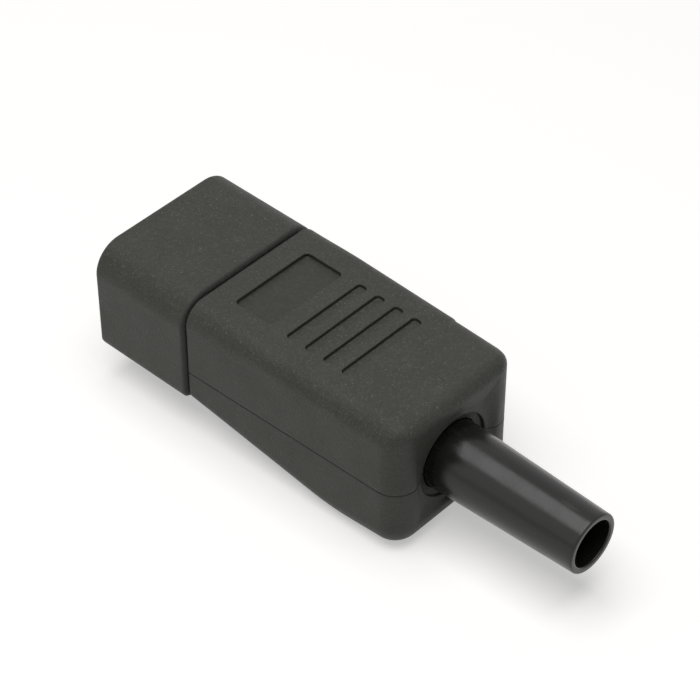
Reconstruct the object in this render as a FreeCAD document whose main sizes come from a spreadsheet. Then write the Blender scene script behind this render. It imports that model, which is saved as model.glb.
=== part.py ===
import FreeCAD, Part
import Sketcher
import math
import os

# Rewirable cord connector with a rectangular three-pole nose, in millimetres.
# The mating face lies at X = 0 and the cord leaves along +X. +Z is the earth side.
# The seam between the two housing shells is level, below the middle of the nose.

DRIVING_SIZES = [
    # Nose of the contact block, the part that plugs in
    ("nose_side_wall", 3.3),
    ("nose_cover", 3.4),
    ("nose_length", 16.0),
    ("nose_round", 4.8),
    ("nose_edge", 1.0),
    ("nose_lip", 0.6),
    ("face_wall", 1.8),
    # Blade slots and the spring contacts behind them
    ("pole_spread", 7.0),
    ("pole_level", 2.0),
    ("slot_width", 2.6),
    ("slot_height", 4.7),
    ("slot_lead", 0.4),
    ("contact_width", 3.0),
    ("contact_height", 4.6),
    ("contact_gauge", 0.45),
    ("contact_gap", 0.1),
    ("pinch_gap", 0.9),
    ("pinch_depth", 3.2),
    ("mouth_gap", 1.0),
    ("web_setback", 1.4),
    # Neck and flange that the two shells grip
    ("neck_margin", 0.6),
    ("neck_round", 1.2),
    ("flange_margin", 0.4),
    ("flange_round", 2.2),
    ("flange_thickness", 2.0),
    ("fit_gap", 0.1),
    ("seam_gap", 0.15),
    # Terminal deck
    ("deck_length", 10.0),
    ("deck_margin", 0.2),
    ("tab_width", 4.6),
    ("tab_thickness", 1.0),
    ("tab_inset", 0.4),
    ("terminal_shift", 0.4),
    ("shelf_level", -1.2),
    ("earth_rise", 2.0),
    ("barrier_thickness", 0.8),
    ("barrier_rise", 1.6),
    # Screws
    ("screw_radius", 1.5),
    ("screw_tip", 0.3),
    ("thread_gap", 0.05),
    ("screw_clearance", 0.2),
    ("terminal_head_radius", 2.3),
    ("terminal_head_height", 1.8),
    ("terminal_screw_length", 5.0),
    ("driver_slot_width", 0.8),
    ("driver_slot_depth", 0.9),
    ("cross_reach", 1.5),
    ("head_round", 0.4),
    ("housing_head_radius", 2.5),
    ("housing_head_height", 2.0),
    ("housing_screw_length", 10.0),
    ("cord_screw_length", 8.0),
    ("washer_width", 4.4),
    ("washer_thickness", 0.8),
    # Housing shells
    ("side_step", 0.3),
    ("width_fall", 1.6),
    ("shell_step", 0.3),
    ("crown_fall", 0.2),
    ("seam_level", -3.0),
    ("shell_round", 4.4),
    ("rear_round", 3.2),
    ("wedge_share", 0.59),
    ("wedge_drop", 4.5),
    ("blend_share", 0.173),
    ("edge_front", 1.2),
    ("edge_rear", 3.8),
    ("side_wall", 1.6),
    ("roof_wall", 1.7),
    ("floor_wall", 1.8),
    ("lip_thickness", 2.0),
    # Label recess and finger grooves on top
    ("label_setback", 3.6),
    ("label_length", 6.2),
    ("label_margin", 5.15),
    ("label_corner", 0.7),
    ("label_depth", 0.5),
    ("groove_setback", 12.45),
    ("groove_pitch", 3.03),
    ("groove_count", 4),
    ("groove_width", 1.4),
    ("groove_corner", 0.5),
    ("groove_margin", 4.2),
    ("groove_depth", 0.6),
    # Screw bosses and the threaded inserts in them
    ("boss_inset", 2.7),
    ("boss_radius", 3.1),
    ("boss_bite", 0.3),
    ("pillar_radius", 3.5),
    ("pillar_gap", 0.7),
    ("insert_radius", 2.3),
    ("insert_spare", 1.2),
    ("insert_ring", 0.3),
    ("screw_seat", 5.2),
    ("counterbore_gap", 0.25),
    # Cord clamp
    ("clamp_room", 1.1),
    ("clamp_length", 5.4),
    ("clamp_ear", 2.0),
    ("clamp_thickness", 1.8),
    ("clamp_bite", 0.1),
    ("clamp_band", 1.3),
    ("clamp_corner", 1.4),
    ("post_radius", 2.4),
    ("rest_width", 7.0),
    ("rest_length", 3.6),
    # Cord sleeve and its seat in the rear wall
    ("sleeve_reach", 21.1),
    ("sleeve_bore", 3.2),
    ("sleeve_base_wall", 1.5),
    ("sleeve_tip_wall", 0.9),
    ("sleeve_lip", 0.25),
    ("sleeve_flange_rise", 1.3),
    ("sleeve_flange_thickness", 2.0),
    ("sleeve_gap", 0.1),
    ("neck_wall", 1.5),
    ("recess_depth", 1.2),
    ("recess_margin", 1.1),
    ("block_wall", 0.8),
    ("passage_margin", 0.3),
    # Ribs that carry the terminal deck
    ("rib_thickness", 1.2),
    ("rib_front", 1.0),
    ("rib_rear", 8.2),
    ("rib_inset", 2.1),
    # How far a cutting form runs past the skin
    ("cut_past", 1.0),
]

DERIVED_SIZES = [
    ("pole_low", "0 - pole_level"),
    ("half_slot", "slot_width / 2"),
    ("half_slot_height", "slot_height / 2"),
    ("half_contact", "contact_width / 2"),
    ("half_cell", "contact_width / 2 + contact_gap"),
    ("half_cell_height", "contact_height / 2 + 2 * contact_gap"),
    # Half width and levels of the nose, which covers the contact cells on every side
    ("half_nose", "pole_spread + half_cell + nose_side_wall"),
    ("nose_top", "pole_level + half_cell_height + nose_cover"),
    ("nose_foot", "0 - nose_top"),
    # Lengths that follow from what the shells hold, one piece behind the other
    ("wiring_room", "2 * (pillar_radius + pillar_gap)"),
    ("deck_room", "lip_thickness + fit_gap + flange_thickness + deck_length"),
    ("clamp_space", "clamp_length + clamp_room + block_wall"),
    ("sleeve_room", "2 * sleeve_gap + sleeve_flange_thickness + neck_wall + recess_depth"),
    ("shell_length", "deck_room + wiring_room + clamp_space + sleeve_room"),
    ("wedge_length", "shell_length * wedge_share"),
    ("blend_length", "shell_length * blend_share"),
    # Stations along the axis
    ("shell_front", "nose_length + seam_gap"),
    ("shell_rear", "shell_front + shell_length"),
    ("cavity_front", "shell_front + lip_thickness"),
    ("flange_front", "cavity_front + fit_gap"),
    ("deck_front", "flange_front + flange_thickness"),
    ("deck_rear", "deck_front + deck_length"),
    ("neck_length", "flange_front - nose_length"),
    ("wedge_end", "shell_front + wedge_length"),
    ("bend_a", "wedge_end + blend_length / 4"),
    ("bend_b", "wedge_end + blend_length / 2"),
    ("bend_c", "wedge_end + blend_length * 3 / 4"),
    ("flat_start", "wedge_end + blend_length"),
    ("boss_station", "deck_rear + wiring_room / 2"),
    ("clamp_front", "deck_rear + wiring_room"),
    ("clamp_station", "clamp_front + clamp_length / 2"),
    ("recess_front", "shell_rear - recess_depth"),
    ("chamber_rear", "recess_front - neck_wall"),
    ("sleeve_flange_rear", "chamber_rear - sleeve_gap"),
    ("sleeve_front", "sleeve_flange_rear - sleeve_flange_thickness"),
    ("chamber_front", "sleeve_front - sleeve_gap"),
    ("block_front", "chamber_front - block_wall"),
    ("sleeve_tip", "shell_rear + sleeve_reach"),
    # Half widths of the shells at the stations
    ("half_front", "half_nose - side_step"),
    ("half_rear", "half_front - width_fall / 2"),
    ("taper", "(half_front - half_rear) / shell_length"),
    ("half_wedge_end", "half_front - taper * (wedge_end - shell_front)"),
    ("half_bend_a", "half_front - taper * (bend_a - shell_front)"),
    ("half_bend_b", "half_front - taper * (bend_b - shell_front)"),
    ("half_bend_c", "half_front - taper * (bend_c - shell_front)"),
    ("half_flat", "half_front - taper * (flat_start - shell_front)"),
    ("inner_front", "half_front - taper * lip_thickness - side_wall"),
    ("inner_wedge_end", "half_wedge_end - side_wall"),
    ("inner_flat", "half_flat - side_wall"),
    ("inner_block", "half_front - taper * (block_front - shell_front) - side_wall"),
    # Levels of the crown and of the underside
    ("crown_front", "nose_top - shell_step"),
    ("crown_rear", "crown_front - crown_fall"),
    ("roof_front", "crown_front - roof_wall"),
    ("roof_rear", "crown_rear - roof_wall"),
    ("roof_round", "shell_round - side_wall"),
    ("foot_front", "nose_foot + shell_step"),
    ("wedge_slope", "wedge_drop / wedge_length"),
    ("foot_wedge_end", "foot_front - wedge_drop"),
    ("bend_drop", "wedge_slope * blend_length / 2"),
    ("foot_bend_a", "foot_wedge_end - bend_drop * 7 / 16"),
    ("foot_bend_b", "foot_wedge_end - bend_drop * 12 / 16"),
    ("foot_bend_c", "foot_wedge_end - bend_drop * 15 / 16"),
    ("foot_rear", "foot_wedge_end - bend_drop"),
    ("floor_front", "foot_front - wedge_slope * lip_thickness + floor_wall"),
    ("floor_wedge_end", "foot_wedge_end + floor_wall"),
    ("floor_rear", "foot_rear + floor_wall"),
    # Rounding of the lower corners, growing toward the cord
    ("edge_growth", "(edge_rear - edge_front) / shell_length"),
    ("edge_wedge_end", "edge_front + edge_growth * (wedge_end - shell_front)"),
    ("edge_bend_a", "edge_front + edge_growth * (bend_a - shell_front)"),
    ("edge_bend_b", "edge_front + edge_growth * (bend_b - shell_front)"),
    ("edge_bend_c", "edge_front + edge_growth * (bend_c - shell_front)"),
    ("edge_flat", "edge_front + edge_growth * (flat_start - shell_front)"),
    ("floor_round", "edge_wedge_end / 2"),
    # Neck, flange and deck
    ("half_neck", "pole_spread + half_cell + neck_margin"),
    ("neck_top", "pole_level + half_cell_height + neck_margin"),
    ("neck_foot", "0 - neck_top"),
    ("half_opening", "half_neck + fit_gap"),
    ("opening_top", "neck_top + fit_gap"),
    ("opening_foot", "neck_foot - fit_gap"),
    ("opening_round", "neck_round + fit_gap"),
    ("half_flange", "half_neck + flange_margin"),
    ("flange_top", "neck_top + flange_margin"),
    ("flange_foot", "neck_foot - flange_margin"),
    ("half_deck", "half_flange - deck_margin"),
    ("earth_shelf", "shelf_level + earth_rise"),
    ("terminal_spread", "pole_spread - terminal_shift"),
    ("barrier_spread", "terminal_spread / 2"),
    ("barrier_inner", "barrier_spread - barrier_thickness / 2"),
    ("barrier_outer", "barrier_spread + barrier_thickness / 2"),
    ("barrier_top", "earth_shelf + barrier_rise"),
    # Contacts and terminals
    ("arm_inner", "half_contact - contact_gauge"),
    ("contact_mouth", "face_wall + 2 * contact_gap"),
    ("contact_pinch", "contact_mouth + pinch_depth"),
    ("web_front", "nose_length - web_setback"),
    ("web_rear", "web_front + contact_gauge"),
    ("pinch_outer", "pinch_gap + contact_gauge"),
    ("mouth_outer", "mouth_gap + contact_gauge"),
    ("half_tab", "tab_width / 2"),
    ("tab_front", "deck_front + tab_inset"),
    ("tab_rear", "deck_rear - tab_inset"),
    ("terminal_station", "(tab_front + tab_rear) / 2"),
    ("tab_inner", "half_tab + terminal_shift"),
    ("tab_outer", "half_tab - terminal_shift"),
    ("pole_washer_level", "shelf_level + tab_thickness"),
    ("earth_washer_level", "earth_shelf + tab_thickness"),
    ("pole_head_level", "pole_washer_level + washer_thickness"),
    ("earth_head_level", "earth_washer_level + washer_thickness"),
    ("screw_bore", "screw_radius + thread_gap"),
    ("screw_way", "screw_radius + screw_clearance"),
    ("screw_core", "screw_radius - screw_tip"),
    ("terminal_screw_cut", "terminal_screw_length - screw_tip"),
    ("housing_screw_cut", "housing_screw_length - screw_tip"),
    ("cord_screw_cut", "cord_screw_length - screw_tip"),
    ("half_driver_slot", "driver_slot_width / 2"),
    ("mouth_reach_y", "pole_spread + slot_width"),
    ("mouth_reach_z", "pole_level + slot_height"),
    ("shelf_bore_depth", "terminal_screw_length - tab_thickness - washer_thickness + screw_clearance"),
    ("half_washer", "washer_width / 2"),
    # Label recess and grooves
    ("label_front", "shell_front + label_setback"),
    ("label_rear", "label_front + label_length"),
    ("half_label", "half_front - label_margin"),
    ("groove_front", "shell_front + groove_setback"),
    ("groove_rear", "groove_front + groove_width"),
    ("half_groove", "half_rear - groove_margin"),
    ("groove_run", "groove_pitch * (groove_count - 1)"),
    # Bosses, posts and screw seats
    ("boss_spread", "half_rear - side_wall - boss_inset"),
    ("boss_height", "roof_rear + boss_bite - seam_level"),
    ("boss_foot", "foot_front - wedge_slope * (boss_station - shell_front)"),
    ("boss_drop", "seam_level - boss_foot - floor_wall / 2"),
    ("seat_level", "seam_level - screw_seat"),
    ("counterbore_radius", "housing_head_radius + counterbore_gap"),
    ("counterbore_drop", "seat_level - foot_rear + cut_past"),
    ("insert_waist", "insert_radius - insert_ring"),
    ("insert_length", "housing_screw_length - screw_seat + insert_spare"),
    ("insert_low", "insert_length / 3"),
    ("insert_high", "insert_length * 2 / 3"),
    ("post_drop", "seam_level - foot_wedge_end - floor_wall / 2"),
    ("post_bore_depth", "cord_screw_length - clamp_thickness + screw_clearance"),
    ("clamp_head_level", "seam_level + clamp_thickness"),
    ("clamp_spread", "boss_spread"),
    ("half_clamp", "clamp_spread + clamp_ear"),
    ("clamp_arch", "sleeve_bore - clamp_bite"),
    ("clamp_outer", "clamp_arch + clamp_band"),
    ("rest_low", "0 - rest_width / 2"),
    ("rest_high", "rest_width / 2"),
    ("rest_front", "clamp_station - rest_length / 2"),
    ("rest_rear", "clamp_station + rest_length / 2"),
    ("rest_level", "seam_level - clamp_arch"),
    ("rest_drop", "rest_level - foot_wedge_end - floor_wall / 2"),
    # Sleeve seat, radii about the cord axis
    ("sleeve_base_radius", "sleeve_bore + sleeve_base_wall"),
    ("sleeve_tip_radius", "sleeve_bore + sleeve_tip_wall"),
    ("sleeve_flange_radius", "sleeve_base_radius + sleeve_flange_rise"),
    ("recess_radius", "sleeve_base_radius + recess_margin"),
    ("passage_radius", "sleeve_bore + passage_margin"),
    ("passage_start", "block_front - cut_past"),
    ("chamber_radius", "sleeve_flange_radius + sleeve_gap"),
    ("neck_hole", "sleeve_base_radius + sleeve_gap"),
    ("past_rear", "shell_rear + cut_past"),
    # Ribs under the deck
    ("half_rib", "half_flange - rib_inset"),
    ("rib_a_front", "deck_front + rib_front"),
    ("rib_a_rear", "rib_a_front + rib_thickness"),
    ("rib_a_drop", "flange_foot - foot_front + wedge_slope * (rib_a_front - shell_front) - floor_wall / 2"),
    ("rib_b_front", "deck_front + rib_rear"),
    ("rib_b_rear", "rib_b_front + rib_thickness"),
    ("rib_b_drop", "flange_foot - foot_front + wedge_slope * (rib_b_front - shell_front) - floor_wall / 2"),
]

doc = FreeCAD.newDocument("cord_connector")
sheet = doc.addObject("Spreadsheet::Sheet", "sheet")


def fill_sheet():
    """Write the driving sizes as plain numbers and the derived sizes as formulas."""
    row = 1
    for alias, number in DRIVING_SIZES:
        sheet.set(f"A{row}", alias)
        sheet.set(f"B{row}", str(number))
        sheet.setAlias(f"B{row}", alias)
        row += 1
    for alias, formula in DERIVED_SIZES:
        sheet.set(f"A{row}", alias)
        sheet.set(f"B{row}", "=" + formula)
        sheet.setAlias(f"B{row}", alias)
        row += 1
    doc.recompute()


def value(term):
    """Number behind a sheet name; a leading minus turns its sign."""
    if term == "0":
        return 0.0
    if term.startswith("-"):
        return -float(sheet.get(term[1:]))
    return float(sheet.get(term))


def bound(term):
    """Expression that reads a sheet name; a leading minus turns its sign."""
    if term.startswith("-"):
        return "-sheet." + term[1:]
    return "sheet." + term


def new_body(label):
    body = doc.addObject("PartDesign::Body", label)
    body.Label = label
    return body


def new_sketch(body, name, plane, along=None, right=None, rise=None):
    """Sketch on an origin plane, shifted along its normal, to its right and up by sheet names."""
    sketch = body.newObject("Sketcher::SketchObject", name)
    support = [item for item in body.Origin.OriginFeatures if item.Role == plane][0]
    sketch.AttachmentSupport = [(support, "")]
    sketch.MapMode = "FlatFace"
    for axis, term in (("z", along), ("x", right), ("y", rise)):
        if term is not None:
            sketch.setExpression(f"AttachmentOffset.Base.{axis}", bound(term))
    return sketch


def name_size(sketch, constraint, name, term):
    """Add a size to a sketch under a name and bind it to the sheet."""
    index = sketch.addConstraint(constraint)
    sketch.renameConstraint(index, name)
    sketch.setExpression(f"Constraints.{name}", bound(term))


def outline(sketch, corners):
    """Closed polygon; each corner is a pair of sheet names for its two coordinates."""
    count = len(corners)
    points = [FreeCAD.Vector(value(u), value(v), 0) for u, v in corners]
    for index in range(count):
        sketch.addGeometry(Part.LineSegment(points[index], points[(index + 1) % count]), False)
    for index in range(count):
        sketch.addConstraint(Sketcher.Constraint("Coincident", index, 2, (index + 1) % count, 1))
    for index, (u, v) in enumerate(corners):
        if u == "0":
            sketch.addConstraint(Sketcher.Constraint("PointOnObject", index, 1, -2))
        else:
            across = Sketcher.Constraint("DistanceX", -1, 1, index, 1, value(u))
            name_size(sketch, across, f"across_{index}", u)
        if v == "0":
            sketch.addConstraint(Sketcher.Constraint("PointOnObject", index, 1, -1))
        else:
            upward = Sketcher.Constraint("DistanceY", -1, 1, index, 1, value(v))
            name_size(sketch, upward, f"upward_{index}", v)


def rectangle(sketch, left, right, low, high):
    outline(sketch, [(left, low), (right, low), (right, high), (left, high)])


def circle(sketch, across, upward, radius):
    """Circle about a point given by sheet names."""
    centre = FreeCAD.Vector(value(across), value(upward), 0)
    index = sketch.addGeometry(Part.Circle(centre, FreeCAD.Vector(0, 0, 1), value(radius)), False)
    if across == "0":
        sketch.addConstraint(Sketcher.Constraint("PointOnObject", index, 3, -2))
    else:
        place = Sketcher.Constraint("DistanceX", -1, 1, index, 3, value(across))
        name_size(sketch, place, f"centre_across_{index}", across)
    if upward == "0":
        sketch.addConstraint(Sketcher.Constraint("PointOnObject", index, 3, -1))
    else:
        place = Sketcher.Constraint("DistanceY", -1, 1, index, 3, value(upward))
        name_size(sketch, place, f"centre_upward_{index}", upward)
    name_size(sketch, Sketcher.Constraint("Radius", index, value(radius)), f"radius_{index}", radius)


def rounded_box(sketch, left, right, low, high, radius):
    """Rectangle with four equal quarter rounds, tangent to its sides."""
    x0, x1, y0, y1 = value(left), value(right), value(low), value(high)
    r = value(radius)
    normal = FreeCAD.Vector(0, 0, 1)
    quarter = math.pi / 2
    sides = [
        ((x0 + r, y0), (x1 - r, y0)),
        ((x1, y0 + r), (x1, y1 - r)),
        ((x1 - r, y1), (x0 + r, y1)),
        ((x0, y1 - r), (x0, y0 + r)),
    ]
    centres = [(x1 - r, y0 + r), (x1 - r, y1 - r), (x0 + r, y1 - r), (x0 + r, y0 + r)]
    for index in range(4):
        start, end = sides[index]
        sketch.addGeometry(Part.LineSegment(FreeCAD.Vector(*start, 0), FreeCAD.Vector(*end, 0)), False)
        corner = Part.Circle(FreeCAD.Vector(*centres[index], 0), normal, r)
        start_angle = (index - 1) * quarter
        sketch.addGeometry(Part.ArcOfCircle(corner, start_angle, start_angle + quarter), False)
    for index in range(4):
        line = 2 * index
        arc = line + 1
        sketch.addConstraint(Sketcher.Constraint("Tangent", line, 2, arc, 1))
        sketch.addConstraint(Sketcher.Constraint("Tangent", arc, 2, (line + 2) % 8, 1))
        sketch.addConstraint(Sketcher.Constraint("Horizontal" if index % 2 == 0 else "Vertical", line))
    for arc in (3, 5, 7):
        sketch.addConstraint(Sketcher.Constraint("Equal", 1, arc))
    name_size(sketch, Sketcher.Constraint("Radius", 1, r), "corner", radius)
    for name, kind, line, term in (
        ("low", "DistanceY", 0, low),
        ("right", "DistanceX", 2, right),
        ("high", "DistanceY", 4, high),
        ("left", "DistanceX", 6, left),
    ):
        name_size(sketch, Sketcher.Constraint(kind, -1, 1, line, 1, value(term)), name, term)


def arch(sketch, half_width, flat, crown, radius):
    """Half section of a shell: level seam line, upright sides, crown and two quarter rounds."""
    w, f, c, r = value(half_width), value(flat), value(crown), value(radius)
    side = 1 if c > f else -1
    quarter = math.pi / 2
    normal = FreeCAD.Vector(0, 0, 1)
    shoulder = c - side * r
    corners = [(-w, f), (w, f), (w, shoulder), (w - r, c), (r - w, c), (-w, shoulder)]
    points = [FreeCAD.Vector(u, v, 0) for u, v in corners]
    right_circle = Part.Circle(FreeCAD.Vector(w - r, shoulder, 0), normal, r)
    left_circle = Part.Circle(FreeCAD.Vector(r - w, shoulder, 0), normal, r)
    sketch.addGeometry(Part.LineSegment(points[0], points[1]), False)
    sketch.addGeometry(Part.LineSegment(points[1], points[2]), False)
    if side > 0:
        sketch.addGeometry(Part.ArcOfCircle(right_circle, 0, quarter), False)
    else:
        sketch.addGeometry(Part.ArcOfCircle(right_circle, -quarter, 0), False)
    sketch.addGeometry(Part.LineSegment(points[3], points[4]), False)
    if side > 0:
        sketch.addGeometry(Part.ArcOfCircle(left_circle, quarter, 2 * quarter), False)
    else:
        sketch.addGeometry(Part.ArcOfCircle(left_circle, 2 * quarter, 3 * quarter), False)
    sketch.addGeometry(Part.LineSegment(points[5], points[0]), False)
    first, last = (1, 2) if side > 0 else (2, 1)
    sketch.addConstraint(Sketcher.Constraint("Coincident", 0, 2, 1, 1))
    sketch.addConstraint(Sketcher.Constraint("Tangent", 1, 2, 2, first))
    sketch.addConstraint(Sketcher.Constraint("Tangent", 2, last, 3, 1))
    sketch.addConstraint(Sketcher.Constraint("Tangent", 3, 2, 4, first))
    sketch.addConstraint(Sketcher.Constraint("Tangent", 4, last, 5, 1))
    sketch.addConstraint(Sketcher.Constraint("Coincident", 5, 2, 0, 1))
    sketch.addConstraint(Sketcher.Constraint("Symmetric", 0, 1, 0, 2, -2))
    sketch.addConstraint(Sketcher.Constraint("Vertical", 1))
    sketch.addConstraint(Sketcher.Constraint("Vertical", 5))
    sketch.addConstraint(Sketcher.Constraint("Horizontal", 3))
    sketch.addConstraint(Sketcher.Constraint("Equal", 2, 4))
    name_size(sketch, Sketcher.Constraint("Radius", 2, r), "corner", radius)
    name_size(sketch, Sketcher.Constraint("DistanceX", -1, 1, 0, 2, w), "half_width", half_width)
    name_size(sketch, Sketcher.Constraint("DistanceY", -1, 1, 0, 2, f), "flat", flat)
    name_size(sketch, Sketcher.Constraint("DistanceY", -1, 1, 3, 1, c), "crown", crown)


def pad(body, sketch, name, length, back=False, middle=False):
    feature = body.newObject("PartDesign::Pad", name)
    feature.Profile = sketch
    feature.setExpression("Length", bound(length))
    feature.Reversed = back
    feature.Midplane = middle
    return feature


def pocket(body, sketch, name, length=None, forward=False):
    """Cut against the sketch's normal, or along it when forward; through all without a length."""
    feature = body.newObject("PartDesign::Pocket", name)
    feature.Profile = sketch
    if length is None:
        feature.Type = 1
    else:
        feature.setExpression("Length", bound(length))
    feature.Reversed = forward
    return feature


def loft(body, kind, name, sketches):
    feature = body.newObject(kind, name)
    feature.Profile = (sketches[-1], [""])
    feature.Sections = [(sketch, [""]) for sketch in sketches[-2::-1]]
    feature.Ruled = True
    return feature


def turn(body, kind, name, sketch):
    """Full turn of a sketch about its own horizontal or vertical axis."""
    feature = body.newObject(kind, name)
    feature.Profile = sketch
    feature.Angle = 360
    return feature


def round_edges(body, base, name, radius, chosen, kind="PartDesign::Fillet"):
    """Round or bevel the edges of a feature for which chosen(edge) is true."""
    doc.recompute()
    picked = []
    for number, edge in enumerate(base.Shape.Edges, 1):
        if chosen(edge):
            picked.append(f"Edge{number}")
    feature = body.newObject(kind, name)
    feature.Base = (base, picked)
    if kind == "PartDesign::Fillet":
        feature.setExpression("Radius", bound(radius))
    else:
        feature.setExpression("Size", bound(radius))
    return feature


def box_of(edge):
    return edge.BoundBox


def flat_at_x(edge, station):
    """True for an edge that lies in the cross plane at a station."""
    box = box_of(edge)
    return abs(box.XMin - station) < 1e-4 and abs(box.XMax - station) < 1e-4


def place(body, across_x, across_y, level, upside_down=False):
    """Place a body by sheet names, turned over about X if asked."""
    turned = FreeCAD.Rotation(FreeCAD.Vector(1, 0, 0), 180 if upside_down else 0)
    body.Placement = FreeCAD.Placement(FreeCAD.Vector(0, 0, 0), turned)
    for axis, term in (("x", across_x), ("y", across_y), ("z", level)):
        if term != "0":
            body.setExpression(f"Placement.Base.{axis}", bound(term))


def cut_sleeve_seat(body):
    """Stepped bore for the cord sleeve: cord passage, flange chamber, neck and outer recess."""
    sketch = new_sketch(body, body.Label + "_seat_profile", "XZ_Plane", rise="seam_level")
    outline(sketch, [
        ("passage_start", "0"),
        ("past_rear", "0"),
        ("past_rear", "recess_radius"),
        ("recess_front", "recess_radius"),
        ("recess_front", "neck_hole"),
        ("chamber_rear", "neck_hole"),
        ("chamber_rear", "chamber_radius"),
        ("chamber_front", "chamber_radius"),
        ("chamber_front", "passage_radius"),
        ("passage_start", "passage_radius"),
    ])
    groove = turn(body, "PartDesign::Groove", body.Label + "_seat", sketch)
    groove.ReferenceAxis = (sketch, ["H_Axis"])
    return groove


def round_shell_rear(body, form):
    """Round the rim of a shell's rear wall, all but its seam edge."""
    rear = value("shell_rear")
    seam = value("seam_level")

    def on_rear_rim(edge):
        box = box_of(edge)
        on_seam = abs(box.ZMin - seam) < 1e-4 and abs(box.ZMax - seam) < 1e-4
        return flat_at_x(edge, rear) and not on_seam

    return round_edges(body, form, body.Label + "_rear_rounds", "rear_round", on_rear_rim)


def make_upper_shell():
    """Upper housing shell with label recess, finger grooves, screw bosses and sleeve seat."""
    body = new_body("upper_shell")
    sections = []
    for name, station, half, crown in (
        ("upper_front", "shell_front", "half_front", "crown_front"),
        ("upper_rear", "shell_rear", "half_rear", "crown_rear"),
    ):
        sketch = new_sketch(body, name, "YZ_Plane", station)
        arch(sketch, half, "seam_level", crown, "shell_round")
        sections.append(sketch)
    form = loft(body, "PartDesign::AdditiveLoft", "upper_form", sections)
    round_shell_rear(body, form)

    sections = []
    for name, station, half, roof in (
        ("upper_hollow_front", "cavity_front", "inner_front", "roof_front"),
        ("upper_hollow_rear", "block_front", "inner_block", "roof_rear"),
    ):
        sketch = new_sketch(body, name, "YZ_Plane", station)
        arch(sketch, half, "seam_level", roof, "roof_round")
        sections.append(sketch)
    loft(body, "PartDesign::SubtractiveLoft", "upper_hollow", sections)

    sketch = new_sketch(body, "upper_opening_outline", "YZ_Plane", "shell_front")
    arch(sketch, "half_opening", "seam_level", "opening_top", "opening_round")
    pocket(body, sketch, "upper_opening", "lip_thickness", forward=True)
    cut_sleeve_seat(body)

    sketch = new_sketch(body, "boss_outline", "XY_Plane", "seam_level")
    circle(sketch, "boss_station", "boss_spread", "boss_radius")
    circle(sketch, "boss_station", "-boss_spread", "boss_radius")
    pad(body, sketch, "bosses", "boss_height")
    sketch = new_sketch(body, "insert_outline", "XY_Plane", "seam_level")
    circle(sketch, "boss_station", "boss_spread", "insert_radius")
    circle(sketch, "boss_station", "-boss_spread", "insert_radius")
    pocket(body, sketch, "insert_holes", "insert_length", forward=True)

    sketch = new_sketch(body, "label_outline", "XY_Plane", "crown_front")
    rounded_box(sketch, "label_front", "label_rear", "-half_label", "half_label", "label_corner")
    pocket(body, sketch, "label_recess", "label_depth")
    sketch = new_sketch(body, "groove_outline", "XY_Plane", "crown_front")
    rounded_box(sketch, "groove_front", "groove_rear", "-half_groove", "half_groove", "groove_corner")
    groove = pocket(body, sketch, "finger_groove", "groove_depth")
    pattern = body.newObject("PartDesign::LinearPattern", "finger_grooves")
    pattern.Originals = [groove]
    pattern.Direction = (sketch, ["H_Axis"])
    pattern.setExpression("Length", "sheet.groove_run")
    pattern.setExpression("Occurrences", "sheet.groove_count")
    body.Tip = pattern
    return body


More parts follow.
